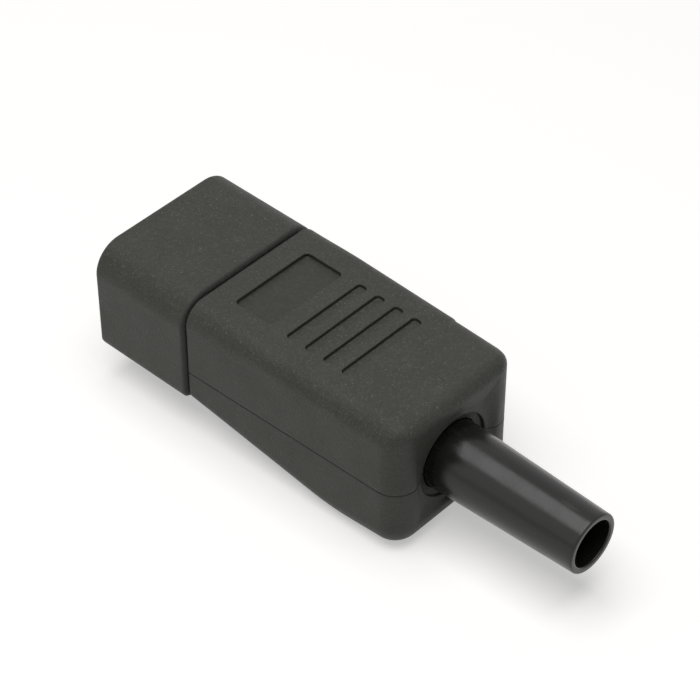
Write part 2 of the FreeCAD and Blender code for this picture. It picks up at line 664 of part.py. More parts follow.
def make_lower_shell():
    """Lower housing shell: wedge-shaped underside, screw posts, cord rest and sleeve seat."""
    body = new_body("lower_shell")
    sections = []
    for name, station, half, foot, edge in (
        ("lower_front", "shell_front", "half_front", "foot_front", "edge_front"),
        ("lower_wedge_end", "wedge_end", "half_wedge_end", "foot_wedge_end", "edge_wedge_end"),
        ("lower_bend_a", "bend_a", "half_bend_a", "foot_bend_a", "edge_bend_a"),
        ("lower_bend_b", "bend_b", "half_bend_b", "foot_bend_b", "edge_bend_b"),
        ("lower_bend_c", "bend_c", "half_bend_c", "foot_bend_c", "edge_bend_c"),
        ("lower_flat", "flat_start", "half_flat", "foot_rear", "edge_flat"),
        ("lower_rear", "shell_rear", "half_rear", "foot_rear", "edge_rear"),
    ):
        sketch = new_sketch(body, name, "YZ_Plane", station)
        arch(sketch, half, "seam_level", foot, edge)
        sections.append(sketch)
    form = loft(body, "PartDesign::AdditiveLoft", "lower_form", sections)
    round_shell_rear(body, form)

    sections = []
    for name, station, half, floor in (
        ("lower_hollow_front", "cavity_front", "inner_front", "floor_front"),
        ("lower_hollow_wedge_end", "wedge_end", "inner_wedge_end", "floor_wedge_end"),
        ("lower_hollow_flat", "flat_start", "inner_flat", "floor_rear"),
        ("lower_hollow_rear", "block_front", "inner_block", "floor_rear"),
    ):
        sketch = new_sketch(body, name, "YZ_Plane", station)
        arch(sketch, half, "seam_level", floor, "floor_round")
        sections.append(sketch)
    loft(body, "PartDesign::SubtractiveLoft", "lower_hollow", sections)

    sketch = new_sketch(body, "lower_opening_outline", "YZ_Plane", "shell_front")
    arch(sketch, "half_opening", "seam_level", "opening_foot", "opening_round")
    pocket(body, sketch, "lower_opening", "lip_thickness", forward=True)
    cut_sleeve_seat(body)

    for name, front, rear, drop in (
        ("deck_rib_front", "rib_a_front", "rib_a_rear", "rib_a_drop"),
        ("deck_rib_rear", "rib_b_front", "rib_b_rear", "rib_b_drop"),
    ):
        sketch = new_sketch(body, name + "_outline", "XY_Plane", "flange_foot")
        rectangle(sketch, front, rear, "-half_rib", "half_rib")
        pad(body, sketch, name, drop, back=True)

    sketch = new_sketch(body, "pillar_outline", "XY_Plane", "seam_level")
    circle(sketch, "boss_station", "boss_spread", "pillar_radius")
    circle(sketch, "boss_station", "-boss_spread", "pillar_radius")
    pad(body, sketch, "pillars", "boss_drop", back=True)
    sketch = new_sketch(body, "post_outline", "XY_Plane", "seam_level")
    circle(sketch, "clamp_station", "clamp_spread", "post_radius")
    circle(sketch, "clamp_station", "-clamp_spread", "post_radius")
    pad(body, sketch, "clamp_posts", "post_drop", back=True)
    sketch = new_sketch(body, "rest_outline", "XY_Plane", "rest_level")
    rectangle(sketch, "rest_front", "rest_rear", "rest_low", "rest_high")
    pad(body, sketch, "cord_rest", "rest_drop", back=True)

    sketch = new_sketch(body, "counterbore_outline", "XY_Plane", "seat_level")
    circle(sketch, "boss_station", "boss_spread", "counterbore_radius")
    circle(sketch, "boss_station", "-boss_spread", "counterbore_radius")
    pocket(body, sketch, "counterbores", "counterbore_drop")
    sketch = new_sketch(body, "screw_way_outline", "XY_Plane", "seam_level")
    circle(sketch, "boss_station", "boss_spread", "screw_way")
    circle(sketch, "boss_station", "-boss_spread", "screw_way")
    pocket(body, sketch, "screw_ways")
    sketch = new_sketch(body, "post_bore_outline", "XY_Plane", "seam_level")
    circle(sketch, "clamp_station", "clamp_spread", "screw_bore")
    circle(sketch, "clamp_station", "-clamp_spread", "screw_bore")
    body.Tip = pocket(body, sketch, "post_bores", "post_bore_depth")
    return body


def make_contact_block():
    """Nose, neck, flange and terminal deck, moulded as one piece with three contact cells."""
    body = new_body("contact_block")
    sketch = new_sketch(body, "nose_outline", "YZ_Plane")
    rectangle(sketch, "-half_nose", "half_nose", "nose_foot", "nose_top")
    nose = pad(body, sketch, "nose", "nose_length")
    top = value("nose_top")
    foot = value("nose_foot")

    def long_edge_at(level):
        def chosen(edge):
            box = box_of(edge)
            return box.XLength > 1 and abs(box.ZMin - level) < 1e-4 and abs(box.ZMax - level) < 1e-4
        return chosen

    rounds = round_edges(body, nose, "nose_rounds", "nose_round", long_edge_at(top))
    edges = round_edges(body, rounds, "nose_edges", "nose_edge", long_edge_at(foot))
    round_edges(body, edges, "nose_lip_rounds", "nose_lip", lambda edge: flat_at_x(edge, 0))

    sketch = new_sketch(body, "neck_outline", "YZ_Plane", "nose_length")
    rounded_box(sketch, "-half_neck", "half_neck", "neck_foot", "neck_top", "neck_round")
    pad(body, sketch, "neck", "neck_length")
    sketch = new_sketch(body, "flange_outline", "YZ_Plane", "flange_front")
    rounded_box(sketch, "-half_flange", "half_flange", "flange_foot", "flange_top", "flange_round")
    pad(body, sketch, "flange", "flange_thickness")
    sketch = new_sketch(body, "deck_outline", "YZ_Plane", "deck_front")
    outline(sketch, [
        ("-half_deck", "flange_foot"),
        ("half_deck", "flange_foot"),
        ("half_deck", "shelf_level"),
        ("barrier_outer", "shelf_level"),
        ("barrier_outer", "barrier_top"),
        ("barrier_inner", "barrier_top"),
        ("barrier_inner", "earth_shelf"),
        ("-barrier_inner", "earth_shelf"),
        ("-barrier_inner", "barrier_top"),
        ("-barrier_outer", "barrier_top"),
        ("-barrier_outer", "shelf_level"),
        ("-half_deck", "shelf_level"),
    ])
    pad(body, sketch, "deck", "deck_length")

    for name, spread, level in (
        ("line", "-pole_spread", "pole_low"),
        ("neutral", "pole_spread", "pole_low"),
        ("earth", None, "pole_level"),
    ):
        sketch = new_sketch(body, name + "_cell_outline", "YZ_Plane", "face_wall", spread, level)
        rectangle(sketch, "-half_cell", "half_cell", "-half_cell_height", "half_cell_height")
        pocket(body, sketch, name + "_cell", forward=True)
        sketch = new_sketch(body, name + "_slot_outline", "YZ_Plane", None, spread, level)
        rectangle(sketch, "-half_slot", "half_slot", "-half_slot_height", "half_slot_height")
        pocket(body, sketch, name + "_slot", "face_wall", forward=True)

    for name, level, spots in (
        ("pole", "shelf_level", ("-terminal_spread", "terminal_spread")),
        ("earth", "earth_shelf", ("0",)),
    ):
        sketch = new_sketch(body, name + "_shelf_bore_outline", "XY_Plane", level)
        for spot in spots:
            circle(sketch, "terminal_station", spot, "screw_way")
        bore = pocket(body, sketch, name + "_shelf_bores", "shelf_bore_depth")

    reach_y = value("mouth_reach_y")
    reach_z = value("mouth_reach_z")

    def on_slot_mouth(edge):
        box = box_of(edge)
        inside_y = box.YMin > -reach_y and box.YMax < reach_y
        inside_z = box.ZMin > -reach_z and box.ZMax < reach_z
        return flat_at_x(edge, 0) and inside_y and inside_z

    body.Tip = round_edges(body, bore, "slot_leads", "slot_lead", on_slot_mouth, "PartDesign::Chamfer")
    return body


def make_contact(label, spread, level, shelf, low, high, spot):
    """Spring contact folded from strip: a two-armed fork, a tail and a tapped terminal tab."""
    body = new_body(label)
    sketch = new_sketch(body, label + "_fork_outline", "XY_Plane", level, None, spread)
    outline(sketch, [
        ("web_rear", "half_contact"),
        ("contact_pinch", "pinch_outer"),
        ("contact_mouth", "mouth_outer"),
        ("contact_mouth", "mouth_gap"),
        ("contact_pinch", "pinch_gap"),
        ("web_front", "arm_inner"),
        ("web_front", "-arm_inner"),
        ("contact_pinch", "-pinch_gap"),
        ("contact_mouth", "-mouth_gap"),
        ("contact_mouth", "-mouth_outer"),
        ("contact_pinch", "-pinch_outer"),
        ("web_rear", "-half_contact"),
    ])
    pad(body, sketch, label + "_fork", "contact_height", middle=True)
    sketch = new_sketch(body, label + "_tail_outline", "XY_Plane", shelf, None, spread)
    outline(sketch, [
        ("web_front", "-half_contact"),
        ("tab_front", "-half_contact"),
        ("tab_front", low),
        ("tab_rear", low),
        ("tab_rear", high),
        ("tab_front", high),
        ("tab_front", "half_contact"),
        ("web_front", "half_contact"),
    ])
    pad(body, sketch, label + "_tail", "tab_thickness")
    sketch = new_sketch(body, label + "_tap_outline", "XY_Plane", shelf)
    circle(sketch, "terminal_station", spot, "screw_bore")
    body.Tip = pocket(body, sketch, label + "_tap", "tab_thickness", forward=True)
    return body


def make_screw(label, kind, shank, crossed):
    """Screw with its seat at the origin and its shank down, turned from one profile."""
    head_radius = kind + "_head_radius"
    head_height = kind + "_head_height"
    body = new_body(label)
    sketch = new_sketch(body, label + "_profile", "XZ_Plane")
    outline(sketch, [
        ("0", "-" + shank + "_length"),
        ("screw_core", "-" + shank + "_length"),
        ("screw_radius", "-" + shank + "_cut"),
        ("screw_radius", "0"),
        (head_radius, "0"),
        (head_radius, head_height),
        ("0", head_height),
    ])
    turned = turn(body, "PartDesign::Revolution", label + "_form", sketch)
    turned.ReferenceAxis = (sketch, ["V_Axis"])
    top = value(head_height)

    def head_rim(edge):
        box = box_of(edge)
        return box.XLength > 1 and abs(box.ZMin - top) < 1e-4 and abs(box.ZMax - top) < 1e-4

    round_edges(body, turned, label + "_head_round", "head_round", head_rim)
    reach = "cross_reach" if crossed else head_radius
    sketch = new_sketch(body, label + "_drive_outline", "XY_Plane", head_height)
    rectangle(sketch, "-" + reach, reach, "-half_driver_slot", "half_driver_slot")
    drive = pocket(body, sketch, label + "_drive", "driver_slot_depth")
    if crossed:
        sketch = new_sketch(body, label + "_cross_outline", "XY_Plane", head_height)
        rectangle(sketch, "-half_driver_slot", "half_driver_slot", "-" + reach, reach)
        drive = pocket(body, sketch, label + "_cross", "driver_slot_depth")
    body.Tip = drive
    return body


def make_washer(label, spot, level):
    """Square washer that a terminal screw presses on the wire."""
    plate = doc.addObject("Part::Box", label + "_plate")
    plate.setExpression("Length", "sheet.washer_width")
    plate.setExpression("Width", "sheet.washer_width")
    plate.setExpression("Height", "sheet.washer_thickness")
    plate.setExpression("Placement.Base.x", "sheet.terminal_station - sheet.half_washer")
    plate.setExpression("Placement.Base.y", spot + " - sheet.half_washer")
    plate.setExpression("Placement.Base.z", "sheet." + level)
    hole = doc.addObject("Part::Cylinder", label + "_hole")
    hole.setExpression("Radius", "sheet.screw_way")
    hole.setExpression("Height", "sheet.washer_thickness")
    hole.setExpression("Placement.Base.x", "sheet.terminal_station")
    hole.setExpression("Placement.Base.y", spot)
    hole.setExpression("Placement.Base.z", "sheet." + level)
    washer = doc.addObject("Part::Cut", label)
    washer.Base = plate
    washer.Tool = hole
    washer.Label = label
    return washer


def make_insert(label):
    """Threaded brass insert with a waist that the boss grips."""
    body = new_body(label)
    sketch = new_sketch(body, label + "_profile", "XZ_Plane")
    outline(sketch, [
        ("screw_bore", "0"),
        ("insert_radius", "0"),
        ("insert_radius", "insert_low"),
        ("insert_waist", "insert_low"),
        ("insert_waist", "insert_high"),
        ("insert_radius", "insert_high"),
        ("insert_radius", "insert_length"),
        ("screw_bore", "insert_length"),
    ])
    form = turn(body, "PartDesign::Revolution", label + "_form", sketch)
    form.ReferenceAxis = (sketch, ["V_Axis"])
    body.Tip = form
    return body


def make_cord_clamp():
    """Omega-shaped bar that presses the cord onto its rest: two ears and an arched band."""
    body = new_body("cord_clamp")
    sketch = new_sketch(body, "clamp_ears_outline", "YZ_Plane", "clamp_front", None, "seam_level")
    rectangle(sketch, "-half_clamp", "half_clamp", "0", "clamp_thickness")
    ears = pad(body, sketch, "clamp_ears", "clamp_length")
    half = value("half_clamp")

    def ear_corner(edge):
        box = box_of(edge)
        upright = box.XLength < 1e-4 and box.YLength < 1e-4
        return upright and abs(abs(box.YMin) - half) < 1e-4

    round_edges(body, ears, "clamp_ear_rounds", "clamp_corner", ear_corner)
    sketch = new_sketch(body, "clamp_band_outline", "YZ_Plane", "clamp_front", None, "seam_level")
    circle(sketch, "0", "0", "clamp_outer")
    pad(body, sketch, "clamp_band", "clamp_length")
    sketch = new_sketch(body, "clamp_base_outline", "YZ_Plane", "clamp_front", None, "seam_level")
    rectangle(sketch, "-half_clamp", "half_clamp", "-half_clamp", "0")
    pocket(body, sketch, "clamp_base", "clamp_length", forward=True)
    sketch = new_sketch(body, "clamp_arch_outline", "YZ_Plane", "clamp_front", None, "seam_level")
    circle(sketch, "0", "0", "clamp_arch")
    pocket(body, sketch, "clamp_arch_way", "clamp_length", forward=True)
    sketch = new_sketch(body, "clamp_hole_outline", "XY_Plane", "clamp_head_level")
    circle(sketch, "clamp_station", "clamp_spread", "screw_way")
    circle(sketch, "clamp_station", "-clamp_spread", "screw_way")
    body.Tip = pocket(body, sketch, "clamp_holes", "clamp_thickness")
    return body


def make_cord_sleeve():
    """Tapered cord sleeve with a flange that the shells hold in their rear wall."""
    body = new_body("cord_sleeve")
    sketch = new_sketch(body, "sleeve_profile", "XZ_Plane", rise="seam_level")
    outline(sketch, [
        ("sleeve_front", "sleeve_bore"),
        ("sleeve_front", "sleeve_flange_radius"),
        ("sleeve_flange_rear", "sleeve_flange_radius"),
        ("sleeve_flange_rear", "sleeve_base_radius"),
        ("shell_rear", "sleeve_base_radius"),
        ("sleeve_tip", "sleeve_tip_radius"),
        ("sleeve_tip", "sleeve_bore"),
    ])
    form = turn(body, "PartDesign::Revolution", "sleeve_form", sketch)
    form.ReferenceAxis = (sketch, ["H_Axis"])
    tip = value("sleeve_tip")
    body.Tip = round_edges(body, form, "sleeve_lip_rounds", "sleeve_lip", lambda edge: flat_at_x(edge, tip))
    return body


def make_all():
    """Build every piece of the connector and return them in one list."""
    pieces = [make_upper_shell(), make_lower_shell(), make_contact_block()]
    poles = (
        ("line", "-pole_spread", "pole_low", "shelf_level", "-tab_outer", "tab_inner", "-terminal_spread"),
        ("neutral", "pole_spread", "pole_low", "shelf_level", "-tab_inner", "tab_outer", "terminal_spread"),
        ("earth", None, "pole_level", "earth_shelf", "-half_tab", "half_tab", "0"),
    )
    for pole, spread, level, shelf, low, high, spot in poles:
        pieces.append(make_contact(pole + "_contact", spread, level, shelf, low, high, spot))
        rank = "earth" if pole == "earth" else "pole"
        screw = make_screw(pole + "_terminal_screw", "terminal", "terminal_screw", False)
        place(screw, "terminal_station", spot, rank + "_head_level")
        pieces.append(screw)
        side = "0" if spot == "0" else bound(spot)
        pieces.append(make_washer(pole + "_washer", side, rank + "_washer_level"))
    pieces.append(make_cord_clamp())
    for hand, clamp_spot, boss_spot in (
        ("left", "clamp_spread", "boss_spread"),
        ("right", "-clamp_spread", "-boss_spread"),
    ):
        screw = make_screw("cord_screw_" + hand, "terminal", "cord_screw", True)
        place(screw, "clamp_station", clamp_spot, "clamp_head_level")
        pieces.append(screw)
        insert = make_insert("threaded_insert_" + hand)
        place(insert, "boss_station", boss_spot, "seam_level")
        pieces.append(insert)
        screw = make_screw("housing_screw_" + hand, "housing", "housing_screw", True)
        place(screw, "boss_station", boss_spot, "seat_level", upside_down=True)
        pieces.append(screw)
    pieces.append(make_cord_sleeve())
    doc.recompute()
    return pieces


def check_and_export(pieces):
    """Stop on any broken feature or shape, then write one STEP file for each piece."""
    for item in doc.Objects:
        if "Invalid" in item.State or "Error" in item.State:
            raise RuntimeError(f"{item.Label} did not recompute: {item.State}")
    os.makedirs("parts", exist_ok=True)
    for piece in pieces:
        if piece.Shape.isNull() or not piece.Shape.isValid():
            raise RuntimeError(f"{piece.Label} has no valid shape")
        piece.Shape.exportStep(f"parts/{piece.Label}.step")
        print(piece.Label, len(piece.Shape.Solids), round(piece.Shape.Volume, 1))


fill_sheet()
check_and_export(make_all())
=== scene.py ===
"""Looks of a rewirable three-pole cord connector, laid out as an add-on and run as a script."""

import math

import bpy
import numpy as np
from bpy.props import FloatProperty, FloatVectorProperty, PointerProperty
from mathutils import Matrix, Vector


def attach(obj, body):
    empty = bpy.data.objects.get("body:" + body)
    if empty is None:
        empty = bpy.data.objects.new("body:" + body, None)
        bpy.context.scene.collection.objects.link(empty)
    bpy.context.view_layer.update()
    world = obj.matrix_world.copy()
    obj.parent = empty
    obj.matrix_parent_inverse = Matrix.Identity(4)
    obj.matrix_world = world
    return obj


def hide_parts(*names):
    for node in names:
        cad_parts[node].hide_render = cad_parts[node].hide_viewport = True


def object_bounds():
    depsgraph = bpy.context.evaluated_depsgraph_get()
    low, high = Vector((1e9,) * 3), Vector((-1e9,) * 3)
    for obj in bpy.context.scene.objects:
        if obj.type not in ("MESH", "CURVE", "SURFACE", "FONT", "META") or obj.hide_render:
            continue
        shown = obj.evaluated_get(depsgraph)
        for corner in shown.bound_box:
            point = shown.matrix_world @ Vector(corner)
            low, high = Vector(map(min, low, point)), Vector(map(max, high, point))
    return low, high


bl_info = {
    "name": "Cord connector looks",
    "version": (1, 0, 0),
    "blender": (4, 5, 0),
    "location": "View3D > Sidebar > Connector",
    "description": "Moulded skins, metal parts and studio for a cord connector",
    "category": "Object",
}

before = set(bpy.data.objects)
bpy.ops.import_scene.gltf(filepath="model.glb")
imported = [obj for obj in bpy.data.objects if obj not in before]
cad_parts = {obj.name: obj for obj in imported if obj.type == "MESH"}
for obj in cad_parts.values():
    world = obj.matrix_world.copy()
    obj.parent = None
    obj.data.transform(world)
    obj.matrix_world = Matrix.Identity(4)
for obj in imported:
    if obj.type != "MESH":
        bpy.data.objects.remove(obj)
CAD_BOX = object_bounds()
MM = 0.001
TINY = 1e-9

# Stations and levels of the solids, in millimetres
NOSE_HALF = 11.9
NOSE_TOP = 7.9
NOSE_FOOT = -7.9
NOSE_ROUND = 4.8
NOSE_CORNER = 4.2
NOSE_EDGE = 1.0
NOSE_LENGTH = 16.0
SHELL_FRONT = 16.15
SHELL_REAR = 50.85
HALF_FRONT = 11.6
HALF_REAR = 10.8
CROWN_FRONT = 7.6
CROWN_REAR = 7.4
FOOT_FRONT = -7.6
CROWN_FALL = (CROWN_FRONT - CROWN_REAR) / (SHELL_REAR - SHELL_FRONT)
SEAM = -3.0
TOP_ROUND = 4.4
TOP_EDGE = (3.0, 2.5, 2.85)
GRIP_RUN = 9.0
TOP_MARK = 40.7
MARK_RUN = 0.5
CROWN_REAR_ROUND = 1.9
REAR_ROUND = 3.2
EDGE_FRONT = 1.2
EDGE_REAR = 3.8
WEDGE_LENGTH = 20.473
WEDGE_SLOPE = 4.5 / WEDGE_LENGTH
BEND_LENGTH = 6.003
OPENING_HALF = 9.3
OPENING_TOP = 5.2
OPENING_FOOT = -5.2
OPENING_ROUND = 1.3
LIP_DEPTH = 2.0
SEAT_RIM = 5.8
SEAT_DEPTH = 1.2
SEAT_NECK = 4.8
NECK_DEPTH = 1.5
WALL = 1.6
LABEL = (19.75, 25.95, 6.45, 0.7)
GROOVE_COUNT = 4
GROOVE_START = 28.6
GROOVE_PITCH = 3.03
GROOVE_WIDTH = 1.4
GROOVE_HALF = 6.6
GROOVE_CORNER = 0.5
SCREW_SPOT = (34.45, 6.5)
COUNTERBORE = 2.75
SCREW_SEAT = -8.2
SCREW_WAY = 1.7
SLOT_HALF = (1.3, 2.35)
SLOT_LEAD = 0.4
FACE_WALL = 1.8
SLOTS = ((-7.0, -2.0), (7.0, -2.0), (0.0, 2.0))
SLEEVE = (46.05, 71.95, 6.0, 2.0, 4.7, 4.1, 3.2)
NOSE_LIP = 0.6
CROWN_FLOOR = 4.0

# Steps of the grids, in millimetres
ROW_STEP = 0.4
COLUMN_STEP = 0.45
FINE_STEP = 0.05
PLATE_STEP = 0.35
PLATE_HALF = (9.2, 5.2)
SUNK_MARGIN = 0.25
BORE_MARGIN = 0.9
COLUMN_REACH = GROOVE_HALF + SUNK_MARGIN

# What the tests on the solids' triangles allow, in millimetres
ON_PLANE = 0.001
SLACK = 0.01
HIDDEN_DEPTH = 1.0
NOSE_SKIN = 0.45
NOSE_CORNER_SKIN = 0.3


# Sizes and finishes that a user sets


class ConnectorForm(bpy.types.PropertyGroup):
    """Sizes of the details that the skins add or soften."""

    groove_depth: FloatProperty(
        name="Groove depth",
        description="How deep the finger grooves lie in the crown",
        default=0.00048,
        min=0.0002,
        max=0.001,
        subtype="DISTANCE",
        unit="LENGTH",
    )
    label_depth: FloatProperty(
        name="Panel depth",
        description="How deep the plain panel lies in the crown",
        default=0.00058,
        min=0.0001,
        max=0.001,
        subtype="DISTANCE",
        unit="LENGTH",
    )
    wall_run: FloatProperty(
        name="Draft of the sunk walls",
        description="Width over which the wall of a groove or panel falls",
        default=0.00014,
        min=0.00005,
        max=0.0006,
        subtype="DISTANCE",
        unit="LENGTH",
    )
    rim_round: FloatProperty(
        name="Edge rounding",
        description="Radius of the small moulded edges",
        default=0.00025,
        min=0.00005,
        max=0.0005,
        subtype="DISTANCE",
        unit="LENGTH",
    )
    dish_depth: FloatProperty(
        name="Dish of the rear face",
        description="How far the rear face falls towards the sleeve's recess",
        default=0.0006,
        min=0.0,
        max=0.0008,
        subtype="DISTANCE",
        unit="LENGTH",
    )
    step_round: FloatProperty(
        name="Step rounding",
        description="Radius of the nose's rear edge, at the step to the shells",
        default=0.0008,
        min=0.0001,
        max=0.001,
        subtype="DISTANCE",
        unit="LENGTH",
    )
    seam_round: FloatProperty(
        name="Seam rounding",
        description="Radius of the two edges that meet at the parting line",
        default=0.00012,
        min=0.00002,
        max=0.0003,
        subtype="DISTANCE",
        unit="LENGTH",
    )


class ConnectorFinish(bpy.types.PropertyGroup):
    """Colours and grain of the plastics and metals."""

    plastic: FloatVectorProperty(
        name="Housing plastic",
        description="Colour of the two shells and the nose",
        default=(0.054, 0.0552, 0.0475),
        min=0.0,
        max=1.0,
        size=3,
        subtype="COLOR",
    )
    dust: FloatVectorProperty(
        name="Dust",
        description="Colour of the fine pale specks on the grain",
        default=(0.42, 0.42, 0.38),
        min=0.0,
        max=1.0,
        size=3,
        subtype="COLOR",
    )
    sleeve: FloatVectorProperty(
        name="Sleeve plastic",
        description="Colour of the cord sleeve",
        default=(0.012, 0.012, 0.011),
        min=0.0,
        max=1.0,
        size=3,
        subtype="COLOR",
    )
    brass: FloatVectorProperty(
        name="Brass",
        description="Colour of the contacts and threaded inserts",
        default=(0.72, 0.5, 0.2),
        min=0.0,
        max=1.0,
        size=3,
        subtype="COLOR",
    )
    zinc: FloatVectorProperty(
        name="Zinc",
        description="Colour of the plated screws and washers",
        default=(0.6, 0.6, 0.58),
        min=0.0,
        max=1.0,
        size=3,
        subtype="COLOR",
    )
    grain: FloatProperty(
        name="Grain size",
        description="Width of one pit of the moulded grain",
        default=0.0003,
        min=0.0001,
        max=0.001,
        subtype="DISTANCE",
        unit="LENGTH",
    )


class ConnectorStudio(bpy.types.PropertyGroup):
    """Lamp levels and camera of the stage."""

    key_power: FloatProperty(
        name="Key lamp",
        description="Power of the large lamp above",
        default=1.6,
        min=0.0,
        unit="POWER",
    )
    fill_power: FloatProperty(
        name="Fill lamp",
        description="Power of the soft lamp on the near side",
        default=0.12,
        min=0.0,
        unit="POWER",
    )
    sky: FloatProperty(
        name="Sky",
        description="Strength of the even light from all around",
        default=0.2,
        min=0.0,
    )
    focal_length: FloatProperty(
        name="Focal length",
        description="Lens on a 36 mm sensor",
        default=133.2,
        min=20.0,
        subtype="DISTANCE_CAMERA",
    )


# Shader maths


class Field:
    """One value over a surface: a node's output whose arithmetic adds Math nodes."""

    def __init__(self, work, socket):
        self.work = work
        self.socket = socket

    def _math(self, operation, first, second):
        return self.work.node("ShaderNodeMath", {"operation": operation}, {0: first, 1: second})

    def __add__(self, other):
        return self._math("ADD", self, other)

    __radd__ = __add__

    def __sub__(self, other):
        return self._math("SUBTRACT", self, other)

    def __rsub__(self, other):
        return self._math("SUBTRACT", other, self)

    def __mul__(self, other):
        return self._math("MULTIPLY", self, other)

    __rmul__ = __mul__

    def ramp(self, low, high):
        """0 below low, 1 above high, smooth between."""
        return self.work.node(
            "ShaderNodeMapRange",
            {"interpolation_type": "SMOOTHSTEP"},
            {"Value": self, "From Min": low, "From Max": high},
        )


class Nodes:
    """The node tree of a material or a world, with one method for every kind of node."""

    def __init__(self, owner):
        owner.use_nodes = True
        self.owner = owner
        self.tree = owner.node_tree
        self.tree.nodes.clear()

    def node(self, kind, settings=None, sockets=None, output=0):
        """Add a node, apply its settings, then set or link its sockets; return one output."""
        made = self.tree.nodes.new(kind)
        for key, setting in (settings or {}).items():
            setattr(made, key, setting)
        for key, value in (sockets or {}).items():
            if isinstance(value, Field):
                self.tree.links.new(value.socket, made.inputs[key])
            else:
                made.inputs[key].default_value = value
        return None if output is None else Field(self, made.outputs[output])

    def seen(self):
        """1 where a ray comes from the camera, off a gloss or through a clear piece, else 0."""
        camera = self.node("ShaderNodeLightPath", output="Is Camera Ray")
        others = camera.socket.node.outputs
        return (
            camera
            + Field(self, others["Is Glossy Ray"])
            + Field(self, others["Is Transmission Ray"])
        )


class Finish(Nodes):
    """A material under construction, whose patterns lie on object coordinates."""

    def __init__(self, name):
        super().__init__(bpy.data.materials.new(name))
        coordinates = self.node("ShaderNodeTexCoord", output="Object")
        self.place = self.node(
            "ShaderNodeVectorMath", {"operation": "SCALE"}, {0: coordinates, "Scale": 1 / MM}
        )

    def noise(self, size, detail, rough, stretch=None):
        """Noise whose cells are size millimetres wide, stretched along the axes if asked."""
        where = self.place
        if stretch is not None:
            where = self.node("ShaderNodeMapping", None, {"Vector": where, "Scale": stretch})
        return self.node(
            "ShaderNodeTexNoise",
            None,
            {"Vector": where, "Scale": 1 / size, "Detail": detail, "Roughness": rough},
        )

    def cells(self, size):
        """Distance to the nearest of a cloud of points size millimetres apart."""
        sockets = {"Vector": self.place, "Scale": 1 / size, "Randomness": 1.0}
        return self.node("ShaderNodeTexVoronoi", None, sockets, "Distance")

    def mix(self, factor, first, second):
        """Colour from first to second as factor goes from 0 to 1."""
        pair = []
        for colour in (first, second):
            pair.append(colour if isinstance(colour, Field) else (*colour, 1.0))
        return self.node(
            "ShaderNodeMix", {"data_type": "RGBA"}, {0: factor, 6: pair[0], 7: pair[1]}, 2
        )

    def bump(self, height, depth, strength):
        """Normal bent by a height field; depth is how far one unit of it stands out, in mm."""
        sockets = {"Height": height, "Distance": depth * MM, "Strength": strength}
        return self.node("ShaderNodeBump", None, sockets)

    def surface(self, **sockets):
        """Close the material with the main shader; keys name its sockets."""
        named = {key.replace("_", " "): value for key, value in sockets.items()}
        shader = self.node("ShaderNodeBsdfPrincipled", None, named)
        self.node("ShaderNodeOutputMaterial", None, {"Surface": shader}, None)
        return self.owner


# Surfaces on grids


def spaced(*spans):
    """Stations along a line: each span is (start, end, step) and their points are joined."""
    stations = [np.linspace(a, b, max(2, int(round((b - a) / step)) + 1)) for a, b, step in spans]
    return np.unique(np.round(np.concatenate(stations), 5))


def smooth(t):
    """A step from 0 to 1 that is level at both ends: 3 t^2 - 2 t^3, with t held in 0 to 1."""
    t = np.clip(t, 0, 1)
    return t * t * (3 - 2 * t)


def quarter(count):
    """Angles of a quarter turn in equal steps."""
    return np.linspace(0, np.pi / 2, count)


def grid(points, closed=False, keep=None):
    """Surface (points, faces) of a grid of points of shape rows, columns, 3.

    It is closed round its columns if asked, and keep masks its cells.
    """
    rows, columns = points.shape[:2]
    i, j = np.meshgrid(
        np.arange(rows - 1), np.arange(columns if closed else columns - 1), indexing="ij"
    )
    near, far, k = i * columns, (i + 1) * columns, (j + 1) % columns
    faces = np.stack([near + j, near + k, far + k, far + j], -1).reshape(-1, 4)
    if keep is not None:
        faces = faces[keep.reshape(-1)]
    return points.reshape(-1, 3), faces


def turned(surface):
    """The same surface with its faces the other way round."""
    return surface[0], surface[1][:, ::-1]


def round_edge(points):
    """The outer points of a grid, once round from its first corner."""
    return np.concatenate([points[0, :-1], points[:-1, -1], points[-1, :0:-1], points[:0:-1, 0]])


def make_piece(name, surfaces, node, slot, finish):
    """Join surfaces in one object at the origin, which stands for a CAD node.

    Points within a thousandth of a millimetre are one vertex; degenerate faces are dropped.
    """
    points = np.concatenate([s[0] for s in surfaces]) * MM
    faces, start = [], 0
    for corners, cells in surfaces:
        padded = cells if cells.shape[1] == 4 else np.hstack([cells, cells[:, 2:3]])
        faces.append(padded + start)
        start += len(corners)
    faces = np.concatenate(faces)
    places = np.round(points / (0.001 * MM)).astype(np.int64)
    _, first, inverse = np.unique(places, axis=0, return_index=True, return_inverse=True)
    faces = inverse.reshape(-1)[faces]
    cells = []
    for face in faces.tolist():
        ring = [v for k, v in enumerate(face) if v != face[k - 1]]
        if len(set(ring)) >= 3:
            cells.append(ring)
    mesh = bpy.data.meshes.new(name)
    mesh.from_pydata(points[first].tolist(), [], cells)
    mesh.polygons.foreach_set("use_smooth", np.ones(len(mesh.polygons), bool))
    mesh.update()
    mesh.validate()
    mesh.materials.append(material_for(slot, finish))
    made = bpy.data.objects.new(name, mesh)
    bpy.context.scene.collection.objects.link(made)
    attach(made, "root")
    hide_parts(node)


